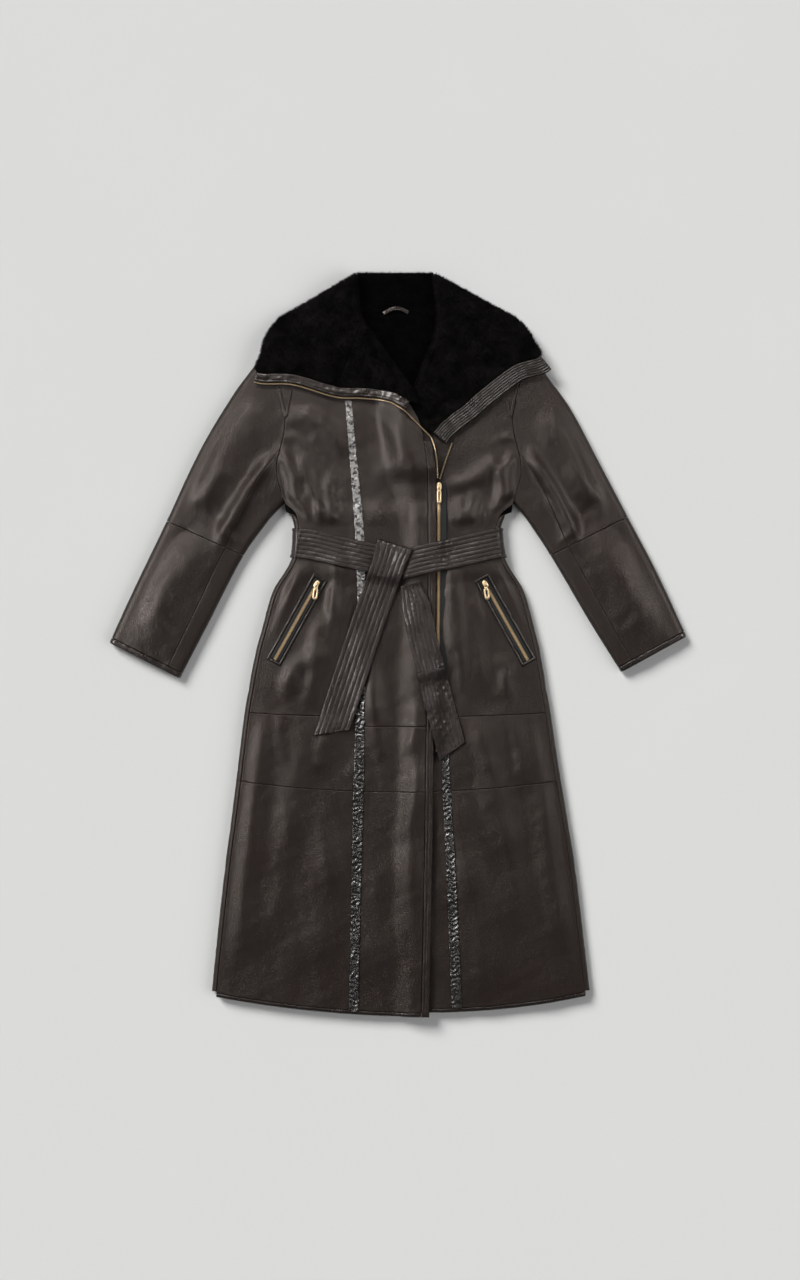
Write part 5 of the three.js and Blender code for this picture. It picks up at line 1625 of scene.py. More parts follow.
class FurGrower:
    """Grows one joined mesh of tapered tufts on a grid of points."""

    def __init__(self, tailor: Tailor, finishes: Finishes) -> None:
        """Keeps what places and finishes the fur."""
        self.tailor = tailor
        self.finishes = finishes

    def grow(
        self,
        name: str,
        surface: Array,
        pile: Pile,
        seed: int,
        comb: tuple[float, float],
        keep: Callable[[Array], Array] | None = None,
        finish: bpy.types.Material | None = None,
    ) -> None:
        """Scatters tufts over the cells, weighted by area, each a closed spike of four faces.

        They lean along the comb's direction, turned by a slow wander, so that they clump.

        Args:
            name: the piece's name.
            surface: rows by columns of points, in millimetres.
            pile: the fur's sizes.
            seed: fixes places and lengths.
            comb: the direction that they lean in, in X and Y.
            keep: says which roots stay, from their points.
            finish: the tufts' material, if not the wings' fur.
        """
        rng = np.random.default_rng(seed)
        a, b = surface[:-1, :-1].reshape(-1, 3), surface[:-1, 1:].reshape(-1, 3)
        c, d = surface[1:, 1:].reshape(-1, 3), surface[1:, :-1].reshape(-1, 3)
        normal = np.cross(c - a, d - b)
        area = np.linalg.norm(normal, axis=1) / 2
        normal = normal / (2 * area[:, None] + 1e-9)
        if np.mean(normal[:, 2]) < 0:
            normal = -normal
        count = int(pile.density * area.sum())
        cell = rng.choice(len(area), count, p=area / area.sum())
        u, v = rng.random((2, count, 1))
        root = lerp(lerp(a[cell], b[cell], u), lerp(d[cell], c[cell], u), v)
        if keep is not None:
            stay = keep(root)
            root, cell = root[stay], cell[stay]
            count = len(root)
        up = normal[cell]
        wander = 0.9 * undulation(root[:, 0], root[:, 1], seed + 1, 26) + 0.6 * rng.standard_normal(count)
        heading = math.atan2(comb[1], comb[0]) + wander
        lean = pile.lean * (0.8 + 0.25 * undulation(root[:, 0], root[:, 1], seed + 2, 18))
        way = np.stack([np.cos(heading), np.sin(heading), 0 * heading], -1)
        way -= up * np.einsum("ij,ij->i", way, up)[:, None]
        aim = up + way * lean[:, None]
        aim /= np.linalg.norm(aim, axis=1)[:, None]
        long = pile.long * rng.uniform(0.7, 1.15, count)[:, None]
        cross = np.cross(aim, way)
        cross /= np.linalg.norm(cross, axis=1)[:, None] + 1e-9
        third = np.cross(aim, cross)
        half = pile.thick * rng.uniform(0.35, 0.6, count)[:, None]
        root = root - 0.4 * up
        points = np.stack(
            [
                root + cross * half,
                root - 0.5 * cross * half + 0.87 * third * half,
                root - 0.5 * cross * half - 0.87 * third * half,
                root + aim * long,
            ],
            1,
        ).reshape(-1, 3)
        spike = np.array([[0, 1, 3], [1, 2, 3], [2, 0, 3], [0, 2, 1]])
        faces = (np.arange(count)[:, None, None] * 4 + spike).reshape(-1, 3)
        self.tailor.place(mesh_object(name, points, faces, finish or self.finishes.fur), "fur")


@dataclass
class Collar:
    """The fur collar: back piece, wings, lapels, bound and stitched edges, and the neck's lining."""

    tailor: Tailor
    finishes: Finishes
    fur: FurGrower
    cell: float = 4.0

    def build(self) -> None:
        """Makes the collar's pieces and grows their fur."""
        forms = {side: WingForm(side) for side in Side}
        for side, form in forms.items():
            parts = {"collar_wing": (0.0, LAPEL_FROM - 0.008), "lapel": (LAPEL_FROM + 0.008, float(LAST_ROW))}
            for number, (part, (start, end)) in enumerate(parts.items()):
                outer, inner = form.grid(start, end, self.cell)
                name = f"{part}_{side.word}"
                free = 2.0 if part == "lapel" else 4.5
                edges = Edges(1.0, free, 5.0 if part == "collar_wing" else 2.0, 2.0)
                outer = soften(outer, inner, edges, pucker=0)
                self.tailor.cloth(f"pelt_{name}", outer, inner, self.finishes.fur, "fur", [name])
                comb = (side.value, -0.6)
                self.fur.grow(f"fur_{name}", outer[:, 4:], Pile(), 60 + 7 * number + side.value, comb)
        self.nape(forms)
        self.lining(forms)
        self.binding(forms[Side.RIGHT])
        self.band(forms[Side.LEFT])

    def nape(self, forms: dict[Side, WingForm]) -> None:
        """The back piece of the collar, between the rolls, in the darker fur that paints the shade there."""
        y = lerp(NECK[1] + 0.15, COLLAR_TOP, graded(COLLAR_TOP - NECK[1], self.cell))[:, None]
        left, right = forms[Side.RIGHT].inner_edge(y) + GAP, forms[Side.LEFT].inner_edge(y) - GAP
        x = lerp(left, right, graded(130, self.cell)[None, :])
        y = y + 0 * x
        z = WALL + 0.6 * undulation(x, y, 44, 30)
        outer, inner = np.stack([x, y, z], -1), np.stack([x, y, 0 * x], -1)
        outer = soften(outer, inner, Edges(1.5, 1.5, 1.5, 5), pucker=0)
        self.tailor.cloth("pelt_collar_back", outer, inner, self.finishes.deep_fur, "fur", ["collar_back"])
        self.fur.grow("fur_collar_back", outer, Pile(), 83, (0.1, -1), finish=self.finishes.deep_fur)

    def lining(self, forms: dict[Side, WingForm]) -> None:
        """Fur inside the back, where the neck opening shows it, in the darker fur that paints the shade of
        the opening.
        """
        y = lerp(424.0, NECK[1] - 0.5, graded(NECK[1] - 424, self.cell))[:, None]
        left, right = forms[Side.RIGHT].inner_edge(y) + 0.4, forms[Side.LEFT].inner_edge(y) - 0.4
        x = lerp(left, np.maximum(right, left + 2), graded(100, self.cell)[None, :])
        y = y + 0 * x
        outer = np.stack([x, y, WALL + 0.65 + 0 * x], -1)
        inner = np.stack([x, y, WALL + 0.1 + 0 * x], -1)
        self.tailor.cloth("pelt_neck_lining", outer, inner, self.finishes.deep_fur, "fur")

        def clear(root: Array) -> Array:
            return ~((np.abs(root[:, 0] + 3.5) < 25) & (root[:, 1] > 557))

        self.fur.grow("fur_neck_lining", outer, Pile(), 85, (0.05, -1), clear, self.finishes.deep_fur)

    def binding(self, form: WingForm) -> None:
        """The right wing's glossy bound edge: slightly scalloped, with a groove for its stitches."""
        shares = (0, 0.04, 0.1, 0.2, 0.32, 0.44, 0.56, 0.66, 0.74, 0.8, 0.86, 0.92, 0.97, 1)
        across = np.array(shares)
        x, y = form.edge_strip(BINDING_WIDE, across, 2.6)
        level = FORM.wing_top(Side.RIGHT, x, y)
        groove = 0.9 * np.exp(-(((across - 0.74) / 0.05) ** 2))[None, :]
        swell = 0.7 * undulation(x, y, 51, 15) * np.sin(math.pi * across)[None, :] ** 0.5
        outer = np.stack([x, y, level + 1.0 - groove + swell], -1)
        inner = np.stack([x, y, level - WALL], -1)
        outer = soften(outer, inner, Edges(1.6, 3.4, 1.5, 1.5), pucker=0.15)
        line = outer[2:-2, shares.index(0.74)] + SHALLOW_THREAD_RISE
        Stitching(self.tailor, self.finishes).sew("stitches_wing_right", [line])
        self.tailor.cloth(
            "binding_wing_right", outer, inner, self.finishes.binding, nodes=["binding_right"]
        )

    def band(self, form: WingForm) -> None:
        """The left wing's stitched band: six grooves with soft rolls of leather between them."""
        across = np.linspace(0, 1, 43)
        across = np.concatenate([[0, 0.008], across[1:-1], [0.992, 1]])
        x, y = form.edge_strip(BAND_WIDE, across, 3.0)
        level = FORM.wing_top(Side.LEFT, x, y)
        rows = 1 - np.abs(np.sin(math.pi * across * 7)) ** 0.5
        swell = 0.5 * undulation(x, y, 53, 24) + 0.3 * undulation(2 * x, y, 54, 8)
        outer = np.stack([x, y, level + 1.2 - 1.9 * rows[None, :] + swell], -1)
        inner = np.stack([x, y, level - WALL], -1)
        outer = soften(outer, inner, Edges(1.8, 2.8, 1.8, 1.8), pucker=0.12)
        lines = [outer[2:-2, 6 * k + 1] + THREAD_RISE for k in range(1, 7)]
        Stitching(self.tailor, self.finishes).sew("stitches_band_left", lines)
        self.tailor.cloth("leather_band_left", outer, inner, self.finishes.binding, nodes=["band_left"])


# Belt

BELT_RIGHT = ((-171.4, 171.8), (-140, 167.3), (-78, 153), (-7, 139))
BELT_LEFT = ((171.6, 171.6), (140, 164.6), (78, 151), (3, 134))
END_RIGHT = ((-4.6, 170.4), (-20, 124), (-49, 41), (-78, -46), (-112, -150))
END_LEFT = ((20, 102), (29, 69), (42.5, 8.5), (57.3, -47))
TIP_LEFT = ((55.8, -44), (68.9, -96), (91.8, -182))


class Path:
    """A smooth line through points in X and Y, read by the share of its length."""

    def __init__(self, points: Sequence[Sequence[float]]) -> None:
        """Curves through the points over their summed distances, then measures the curve."""
        x, y = columns(points)
        run = np.concatenate([[0], np.hypot(np.diff(x), np.diff(y)).cumsum()])
        fine = np.linspace(0, run[-1], 600)
        self.x, self.y = track(run, x)(fine), track(run, y)(fine)
        long = np.concatenate([[0], np.hypot(np.diff(self.x), np.diff(self.y)).cumsum()])
        self.long = float(long[-1])
        self.share = long / self.long

    def at(self, share: Array) -> tuple[Array, Array, Array, Array]:
        """x, y and the direction's x and y at a share of the length."""
        near, far = np.clip(share - 0.004, 0, 1), np.clip(share + 0.004, 0, 1)
        dx = np.interp(far, self.share, self.x) - np.interp(near, self.share, self.x)
        dy = np.interp(far, self.share, self.y) - np.interp(near, self.share, self.y)
        long = np.hypot(dx, dy)
        x, y = np.interp(share, self.share, self.x), np.interp(share, self.share, self.y)
        return x, y, dx / long, dy / long

    def covers(self, x: Array, y: Array, half: float) -> Array:
        """Whether points lie within half a width of the line."""
        spots = np.linspace(0, 1, 60)
        px, py, tx, ty = (value[:, None] for value in self.at(spots))
        flat_x, flat_y = x.ravel()[None, :], y.ravel()[None, :]
        along = np.abs((flat_x - px) * tx + (flat_y - py) * ty)
        off = np.abs((flat_x - px) * ty - (flat_y - py) * tx)
        hit = (along < 0.6 * self.long / 59) & (off < half)
        return hit.any(0).reshape(x.shape)


PITCH = 2.0
MAP_X = np.arange(-204.0, 205.0, PITCH)
MAP_Y = np.arange(-210.0, 221.0, PITCH)


def shifted(level: Array, dx: float, dy: float) -> Array:
    """A map of levels, moved by whole cells."""
    return np.roll(level, (round(dy / PITCH), round(dx / PITCH)), (0, 1))


def highest_near(level: Array, reach: float) -> Array:
    """The highest level on a ring round each point of a map, which a stiff strip rests on."""
    angles = np.arange(8) * math.pi / 4
    around = [shifted(level, reach * math.cos(angle), reach * math.sin(angle)) for angle in angles]
    return np.maximum.reduce([level, *around])


def evened(level: Array) -> Array:
    """A map of levels, averaged over a few millimetres."""
    for reach in (6, 4, 4):
        around = [shifted(level, dx, dy) for dx, dy in ((reach, 0), (-reach, 0), (0, reach), (0, -reach))]
        level = (level + sum(around)) / 5
    return level


def reader(level: Array) -> Field:
    """A function that reads a map of levels between its points, in a straight line each way."""

    def read(x: Array, y: Array) -> Array:
        column = np.clip((x - MAP_X[0]) / PITCH, 0, len(MAP_X) - 1.001)
        row = np.clip((y - MAP_Y[0]) / PITCH, 0, len(MAP_Y) - 1.001)
        c, r = column.astype(int), row.astype(int)
        low = lerp(level[r, c], level[r, c + 1], column - c)
        return lerp(low, lerp(level[r + 1, c], level[r + 1, c + 1], column - c), row - r)

    return read


class Layers:
    """The levels that the belt's parts rest on, each worked out from what lies below."""

    def __init__(self) -> None:
        """Makes the belt's paths and the map under each."""
        self.right, self.left = Path(BELT_RIGHT), Path(BELT_LEFT)
        self.end_right, self.end_left, self.tip = Path(END_RIGHT), Path(END_LEFT), Path(TIP_LEFT)
        x, y = np.meshgrid(MAP_X, MAP_Y)
        fronts = self.fronts(x, y)
        rest = evened(highest_near(fronts, 8)) + REST_GAP
        covered = self.right.covers(x, y, BELT_WIDE / 2) | self.left.covers(x, y, BELT_WIDE / 2)
        stretches = np.where(covered, rest + BELT_THICK, fronts)
        rest_ends = evened(highest_near(stretches, 9)) + REST_GAP
        ends = np.where(self.end_left.covers(x, y, 24), rest_ends + BELT_THICK, stretches)
        self.rest, self.rest_ends = reader(rest), reader(rest_ends)
        self.rest_tip = reader(evened(highest_near(ends, 9)) + REST_GAP)

    def fronts(self, x: Array, y: Array) -> Array:
        """Both fronts, with the placket, the zip and the shiny tape."""
        at_y, at_x, wide = columns(TAPE_RIGHT)
        edge = FORM.front_edge(y)
        right, left = FORM.right_top(x, y), FORM.left_top(x, y)
        level = np.where(x < edge, np.where(x > edge - FACING_WIDE, right + BOUND_RISE, right), left)
        on_tape = (np.abs(x - track(at_y, at_x)(y)) < track(at_y, wide)(y) / 2) & (x < edge)
        level = np.where(on_tape, right + 2.3, level)
        return np.where((x > edge) & (x < edge + 8), left + 3.9, level)


@dataclass
class BeltStrip:
    """One stretch of the belt: a stitched double strip of leather along a path."""

    name: str
    path: Path
    wide: Line
    rest: Field
    rows: int = 6
    end_slant: float = 0.0
    start_round: float = 1.6
    seed: int = 70

    def place(self, share: Array, across: Array) -> tuple[Array, Array]:
        """x and y at a share of the length, a column, and of the width, a row, from left to right."""
        x, y, tx, ty = self.path.at(share)
        slant = self.end_slant * ((share - 0.9) / 0.1).clip(0)
        off = self.wide(share) * (across - 0.5)
        slip = slant * (2 * across - 1)
        return x + ty * off + tx * slip, y - tx * off + ty * slip

    def grid(self) -> tuple[Array, Array]:
        """A groove along each stitch row, soft rolls between, fine crinkles across, rounded edges."""
        share = graded(self.path.long, 2.6)[:, None]
        wide = float(np.mean(self.wide(share)))
        across = np.linspace(0, 1, 8 * (self.rows + 1) + 1)
        across = np.concatenate([[0, 0.4 / wide], across[1:-1], [1 - 0.4 / wide, 1]])[None, :]
        x, y = self.place(share, across)
        groove = 1 - np.abs(np.sin(math.pi * across * (self.rows + 1))) ** 0.35
        along = share * self.path.long
        crinkle = 0.34 * undulation(3 * across * wide / 8, along, self.seed, 7) * (1 - 0.5 * groove)
        swell = 0.45 * undulation(x, y, self.seed + 1, 42)
        level = self.rest(x, y)
        outer = np.stack([x, y, level + BELT_THICK - 0.9 * groove + crinkle + swell], -1)
        inner = np.stack([x, y, level], -1)
        return soften(outer, inner, Edges(1.7, 1.7, self.start_round, 1.6), pucker=0.0), inner

    def rows_of(self, outer: Array) -> list[Array]:
        """The groove lines of a finished grid, a little short of both ends."""
        return [outer[2:-2, 8 * k + 1] + THREAD_RISE for k in range(1, self.rows + 1)]


@dataclass
class Belt:
    """The belt: round the back, two stretches across the front, and two hanging ends."""

    tailor: Tailor
    finishes: Finishes

    def build(self) -> None:
        """Makes the six pieces."""
        layers = Layers()
        strips = (
            BeltStrip("belt_right", layers.right, lambda t: BELT_WIDE + 0 * t, layers.rest, seed=71),
            BeltStrip("belt_left", layers.left, lambda t: BELT_WIDE + 0 * t, layers.rest, seed=72),
            BeltStrip(
                "belt_end_right",
                layers.end_right,
                lambda t: lerp(62, 56, smooth(t, 0, 0.1)),
                layers.rest_ends,
                end_slant=14,
                start_round=3.2,
                seed=73,
            ),
            BeltStrip(
                "belt_end_left",
                layers.end_left,
                lambda t: lerp(34, 48, smooth(t, 0, 0.28)),
                layers.rest_ends,
                rows=5,
                seed=74,
            ),
            BeltStrip(
                "belt_tip_left",
                layers.tip,
                lambda t: lerp(49, 50, t),
                layers.rest_tip,
                end_slant=10.5,
                seed=75,
            ),
        )
        stitching = Stitching(self.tailor, self.finishes)
        for strip in strips:
            outer, inner = strip.grid()
            stitching.sew(f"stitches_{strip.name}", strip.rows_of(outer))
            self.tailor.cloth(
                f"leather_{strip.name}", outer, inner, self.finishes.belt, nodes=[strip.name]
            )
        self.back()

    def back(self) -> None:
        """The stretch behind: under the back, round both sides and up to the front stretches.

        Half circles a belt's thickness off the coat's rolled sides, with a straight run between.
        """
        y = (BELT_Y + BELT_WIDE * (graded(BELT_WIDE, 3.0) - 0.5))[:, None]
        right, left = FORM.side(Side.RIGHT, y) + EDGE, FORM.side(Side.LEFT, y) - EDGE
        radius = EDGE + BESIDE
        level = radius + BELT_THICK
        turn = np.linspace(0, 1, 15)[None, :]
        across = lerp(right, left, np.linspace(0, 1, 30)[None, 1:-1])
        grids = []
        for reach in (radius + BELT_THICK, radius):
            first, last = math.pi * (0.5 + turn), math.pi * (turn - 0.5)
            x = np.concatenate([right + reach * np.cos(first), across, left + reach * np.cos(last)], 1)
            up, down = (level + reach * np.sin(turned) + 0 * y for turned in (first, last))
            z = np.concatenate([up, level - reach + 0 * across, down], 1)
            grids.append(np.stack([x, y + 0 * x, z], -1))
        outer, inner = grids
        rows = sum(np.exp(-((y - BELT_Y + BELT_WIDE * (0.5 - k / 7)) ** 2) / 0.6) for k in range(1, 7))
        outer = outer + (inner - outer) * (0.22 * rows * (outer[..., 2] > 0.5))[..., None]
        outer = soften(outer, inner, Edges(1.2, 1.2, 1.2, 1.2), pucker=0.0)
        outer[..., 2] = np.maximum(outer[..., 2], 0.0)
        self.tailor.cloth("leather_belt_back", outer, inner, self.finishes.belt, nodes=["belt_back"])


# Small parts


def joined_copies(points: Array, faces: Array, places: Array, frames: Array) -> tuple[Array, Array]:
    """One mesh of a small shape set at many places.

    Args:
        points: the shape's corners.
        faces: its faces.
        places: where each copy's origin goes.
        frames: one 3 by 3 matrix a copy, whose rows are its own axes.
    """
    moved = np.einsum("vk,nkj->nvj", points, frames) + places[:, None, :]
    shifts = (np.arange(len(places)) * len(points))[:, None, None]
    return moved.reshape(-1, 3), (faces[None] + shifts).reshape(-1, faces.shape[1])


def frames_along(path: Array, ups: Array | None = None) -> Array:
    """Frames on a path of points: X along it, Y to its left, Z up."""
    ahead = np.gradient(path, axis=0)
    ahead /= np.linalg.norm(ahead, axis=1)[:, None]
    up = np.tile([0.0, 0.0, 1.0], (len(path), 1)) if ups is None else ups
    left = np.cross(up, ahead)
    left /= np.linalg.norm(left, axis=1)[:, None]
    return np.stack([ahead, left, np.cross(ahead, left)], 1)


def resample(path: Array, pitch: float) -> Array:
    """Points a set distance apart along a path of points."""
    run = np.concatenate([[0], np.linalg.norm(np.diff(path, axis=0), axis=1).cumsum()])
    at = np.arange(pitch / 2, run[-1], pitch)
    return np.stack([np.interp(at, run, path[:, k]) for k in range(3)], -1)


def rounded_block(long: float, wide: float, high: float, bevel: float) -> tuple[Array, Array]:
    """A block with bevelled upper edges: 12 corners, its base on Z 0.

    Args:
        long, wide, high: its sizes along X, Y and Z.
        bevel: the size of the bevel.
    """
    x, y = long / 2, wide / 2
    ring = np.array([[-x, -y], [x, -y], [x, y], [-x, y]])
    small = ring - np.sign(ring) * bevel
    points = np.concatenate(
        [
            np.c_[ring, np.zeros(4)],
            np.c_[ring, np.full(4, high - bevel)],
            np.c_[small, np.full(4, high)],
        ]
    )
    k, r = np.tile(np.arange(4), 2), np.repeat([0, 4], 4)
    n = (k + 1) % 4
    sides = np.stack([k + r, n + r, n + r + 4, k + r + 4], -1)
    return points, np.concatenate([[[3, 2, 1, 0]], sides, [[8, 9, 10, 11]]])


def turned(angle: float) -> Array:
    """The axes of a part that is turned about Z, one a row."""
    return np.array(
        [[math.cos(angle), math.sin(angle), 0], [-math.sin(angle), math.cos(angle), 0], [0, 0, 1]]
    )


@dataclass
class Stitching:
    """Rows of stitches: small lozenges of thread that lie in the grooves."""

    tailor: Tailor
    finishes: Finishes
    long: float = 2.5
    pitch: float = 3.3
    thick: float = 0.75

    def sew(self, name: str, paths: Sequence[Array]) -> None:
        """One joined mesh of stitches along several paths."""
        shape = np.array([[1, 0, 0], [-1, 0, 0], [0, 1, 0], [0, -1, 0], [0, 0, 1], [0, 0, -1]], float)
        shape = shape * [self.long / 2, self.thick / 2, self.thick / 2]
        faces = np.array(
            [[0, 2, 4], [2, 1, 4], [1, 3, 4], [3, 0, 4], [2, 0, 5], [1, 2, 5], [3, 1, 5], [0, 3, 5]]
        )
        spots = [resample(path, self.pitch) for path in paths]
        frames = np.concatenate([frames_along(spot) for spot in spots])
        points, quads = joined_copies(shape, faces, np.concatenate(spots), frames)
        self.tailor.place(mesh_object(name, points, quads, self.finishes.thread), "leather")


@dataclass
class Zips:
    """Zip chains, tapes, stops, sliders and pulls."""

    tailor: Tailor
    finishes: Finishes
    joints: dict[str, dict]
    pitch: float = 2.6

    def build(self) -> None:
        """Makes the main zip, its open halves and the pockets."""
        self.main()
        self.halves()
        for side in Side:
            Pocket(self, side).build()
        self.head("main", -math.pi / 2, -math.pi / 2, 7.8, 29.0)

    def chain(
        self,
        name: str,
        path: Array,
        half: float,
        nodes: Sequence[str] = (),
        sides: Sequence[int] = (-1, 1),
    ) -> None:
        """Rows of metal teeth on both sides of a path, set alternately so that they mesh.

        Args:
            name: the piece's name.
            path: the chain's middle line.
            half: half the chain's width.
            nodes: the solids that it stands for.
            sides: the sides that have teeth.
        """
        block, faces = rounded_block(1.45, 1.25 * half, 1.9, 0.35)
        spots, frames = [], []
        for side in sides:
            middle = resample(path, self.pitch / 2)[(0 if side > 0 else 1) :: 2]
            frame = frames_along(middle)
            spots.append(middle + frame[:, 1] * side * half * 0.375)
            frames.append(frame)
        points, quads = joined_copies(block, faces, np.concatenate(spots), np.concatenate(frames))
        obj = mesh_object(name, points, quads, self.finishes.gold)
        obj.data.shade_flat()
        self.tailor.place(obj, "brass", nodes)

    def ribbon(
        self,
        name: str,
        path: Array,
        left: float,
        right: float,
        thick: float,
        nodes: Sequence[str] = (),
    ) -> None:
        """A flat woven tape along a path, from left to right of it.

        Args:
            name: the piece's name.
            path: the line that it follows.
            left, right: how far its edges lie off that line.
            thick: its thickness.
            nodes: the solids that it stands for.
        """
        frame = frames_along(path)
        across = np.linspace(left, right, 7)[None, :, None]
        outer = path[:, None, :] + frame[:, None, 1] * across
        outer[..., 2] += thick
        inner = outer - [0, 0, thick]
        outer = soften(outer, inner, Edges(0.3, 0.3, 0.3, 0.3), pucker=0)
        self.tailor.shell(name, outer, inner, self.finishes.tape, slot="leather", nodes=nodes)

    def main(self) -> None:
        """The closed chain down the left front's edge, on its tape, with a stop at its lower end."""
        y = np.linspace(274, -170, 150)
        x = np.maximum(FORM.front_edge(y), 63.6) + 1.4 + 2.8
        base = FORM.left_top(x, y) + 0.7
        path = np.stack([x, y, base], -1)
        self.ribbon("cloth_zip_main", path, -2.6, 14.2, 1.0)
        self.chain("chain_zip_main", path + [0, 0, 1.0], 2.8, ["zip_main"])
        block, faces = rounded_block(11.0, 6.6, 3.4, 0.8)
        spot = np.array([[67.2, -176.5, float(FORM.left_top(np.array(67.2), np.array(-176.5))) + 0.7]])
        frame = np.array([[[0, 1, 0], [-1, 0, 0], [0, 0, 1.0]]])
        points, quads = joined_copies(block, faces, spot, frame)
        stop = mesh_object("stop_zip_main", points, quads, self.finishes.gold)
        self.tailor.place(stop, "brass", ["zip_stop"])

    def halves(self) -> None:
        """The open halves: along the right wing's bound edge, and up the left front."""
        wing = WingForm(Side.RIGHT)
        x, y = wing.edge_strip(BINDING_WIDE, np.array([1 + 2.4 / BINDING_WIDE]), 4.0)
        x, y = x[:, 0], y[:, 0]
        z = FORM.wing_top(Side.RIGHT, x, y) - 4.2
        down = np.array([350.0, 338, 325, 310, 295, 279])
        edge = FORM.front_edge(down)
        rise = lerp(-4.2, 2.8, smooth(down, 350, 325)) - 2.9 * smooth(down, 312, 292)
        upper = np.stack([x, y, z], -1)
        lower = np.stack([edge + 2.4, down, FORM.right_top(edge, down) + rise], -1)
        path = resample(np.concatenate([upper, lower]), 3.0)
        self.ribbon("cloth_zip_half_right", path, -1.6, 1.6, 0.9, ["zip_half_right"])
        self.chain("chain_zip_half_right", path + [0, 0, 0.9], 1.5, sides=(1,))
        y = np.linspace(280, 340, 20)
        x = track([278, 310, 337.3, 342], [71, 81, 90.9, 92.6])(y)
        path = np.stack([x, y, FORM.left_top(x, y) + 0.9], -1)
        self.ribbon("cloth_zip_half_left", path, -2.4, 3.0, 0.9, ["zip_half_left"])
        self.chain("chain_zip_half_left", path + [0, 0, 0.9], 1.8, sides=(1,))

    def head(self, name: str, turn: float, lie: float, tab: float, long: float) -> None:
        """A slider and its pull, both set on the axle that the pull's joint gives.

        Args:
            name: main, pocket_right or pocket_left.
            turn: the chain's direction, in radians.
            lie: the pull's direction, in radians.
            tab: the pull's width.
            long: its length.
        """
        joint = self.joints[f"pull_{name}"]
        axle = np.array(joint["pos_m"]) / MM
        SliderShape(self, name, axle, turn).build()
        PullShape(self, name, axle, lie, tab, long).build()


def plate(
    outline: Array, low: float, high: float, bevel: float, hole: Array | None = None
) -> tuple[Array, Array]:
    """A flat part with bevelled edges between two levels.

    With a hole, whose points pair with the outline's, it is a ring. Otherwise rings shrink towards
    the outline's middle, where a fan of quads closes them.

    Args:
        outline: X and Y of the outer edge, anticlockwise.
        low, high: its levels.
        bevel: how far the faces are drawn in.
        hole: X and Y of the inner edge.
    """
    centre = outline.mean(0)
    inside = hole if hole is not None else centre + (outline - centre) * 0.02
    away = outline - inside
    far = np.linalg.norm(away, axis=1)[:, None]
    step = away / far * np.minimum(bevel, far / 4)
    inner_step = step if hole is not None else 0 * step
    rings = [
        (outline - step, low),
        (outline, low + bevel),
        (outline, high - bevel),
        (outline - step, high),
        (inside + inner_step, high),
        (inside, high - (bevel if hole is not None else 0)),
        (inside, low + (bevel if hole is not None else 0)),
        (inside + inner_step, low),
    ]
    if hole is None:
        rings = rings[:5] + rings[7:]
    points = np.concatenate([np.c_[flat, np.full(len(flat), z)] for flat, z in rings])
    n, m = len(outline), len(rings)
    k, r = np.meshgrid(np.arange(n), np.arange(m), indexing="ij")
    a, b = r * n + k, r * n + (k + 1) % n
    c, d = (r + 1) % m * n + (k + 1) % n, (r + 1) % m * n + k
    return points, np.stack([a, b, c, d], -1).reshape(-1, 4)


def stadium(wide: float, start: float, end: float, waist: float = 1.0, count: int = 40) -> Array:
    """An outline in X and Y with half-round ends, from Y start down to Y end.

    Args:
        wide: its width at the end.
        start, end: where it begins and ends in Y.
        waist: the width at the start as a share of wide.
        count: how many points it has.
    """
    angle = 2 * math.pi * np.arange(count) / count
    reach = (start - end - wide * (waist + 1) / 2) / 2
    middle = (start + end) / 2
    share = (1 - np.sin(angle)) / 2
    x = np.cos(angle) * wide / 2 * lerp(waist, 1.0, share)
    y = np.sin(angle) * wide / 2 + np.sign(np.sin(angle)) * reach + middle
    return np.stack([x, y], -1)


@dataclass
class SliderShape:
    """The slider that a pull swings on: two plates and a bridge over the axle."""

    zips: Zips
    name: str
    axle: Array
    turn: float

    def build(self) -> None:
        """A rounded plate with a bridge that rises from both its ends over the pull's bar."""
        turn = self.turn + math.pi / 2
        frame = turned(turn)
        low = -3.3
        body, faces = plate(stadium(8.6, 6.4, -6.2, 0.8), low, low + 1.9, 0.5)
        angle = math.pi * np.linspace(0, 1, 15)
        arch = np.stack([0 * angle, 3.9 * np.cos(angle), low + 1.6 + 3.2 * np.sin(angle) ** 0.7], -1)
        half = np.array([[-1.2, -0.45], [1.2, -0.45], [1.2, 0.45], [-1.2, 0.45]])
        normal = np.stack([0 * angle, np.cos(angle), np.sin(angle)], -1)
        ring = arch[:, None, :] + half[None, :, :1] * [1, 0, 0] + half[None, :, 1:] * normal[:, None, :]
        n, m = ring.shape[:2]
        k, r = np.meshgrid(np.arange(m), np.arange(n - 1), indexing="ij")
        quads = np.stack([r * m + k, r * m + (k + 1) % m, (r + 1) * m + (k + 1) % m, (r + 1) * m + k], -1)
        quads = np.concatenate([quads.reshape(-1, 4), [[3, 2, 1, 0]], [[(n - 1) * m + k for k in range(4)]]])
        points = np.concatenate([body, ring.reshape(-1, 3)])
        faces = np.concatenate([facing_out(body, faces), facing_out(ring.reshape(-1, 3), quads) + len(body)])
        points = points @ frame + self.axle
        obj = mesh_object(f"metal_slider_{self.name}", points, faces, self.zips.finishes.gold)
        self.zips.tailor.place(obj, "brass", [f"slider_{self.name}"])


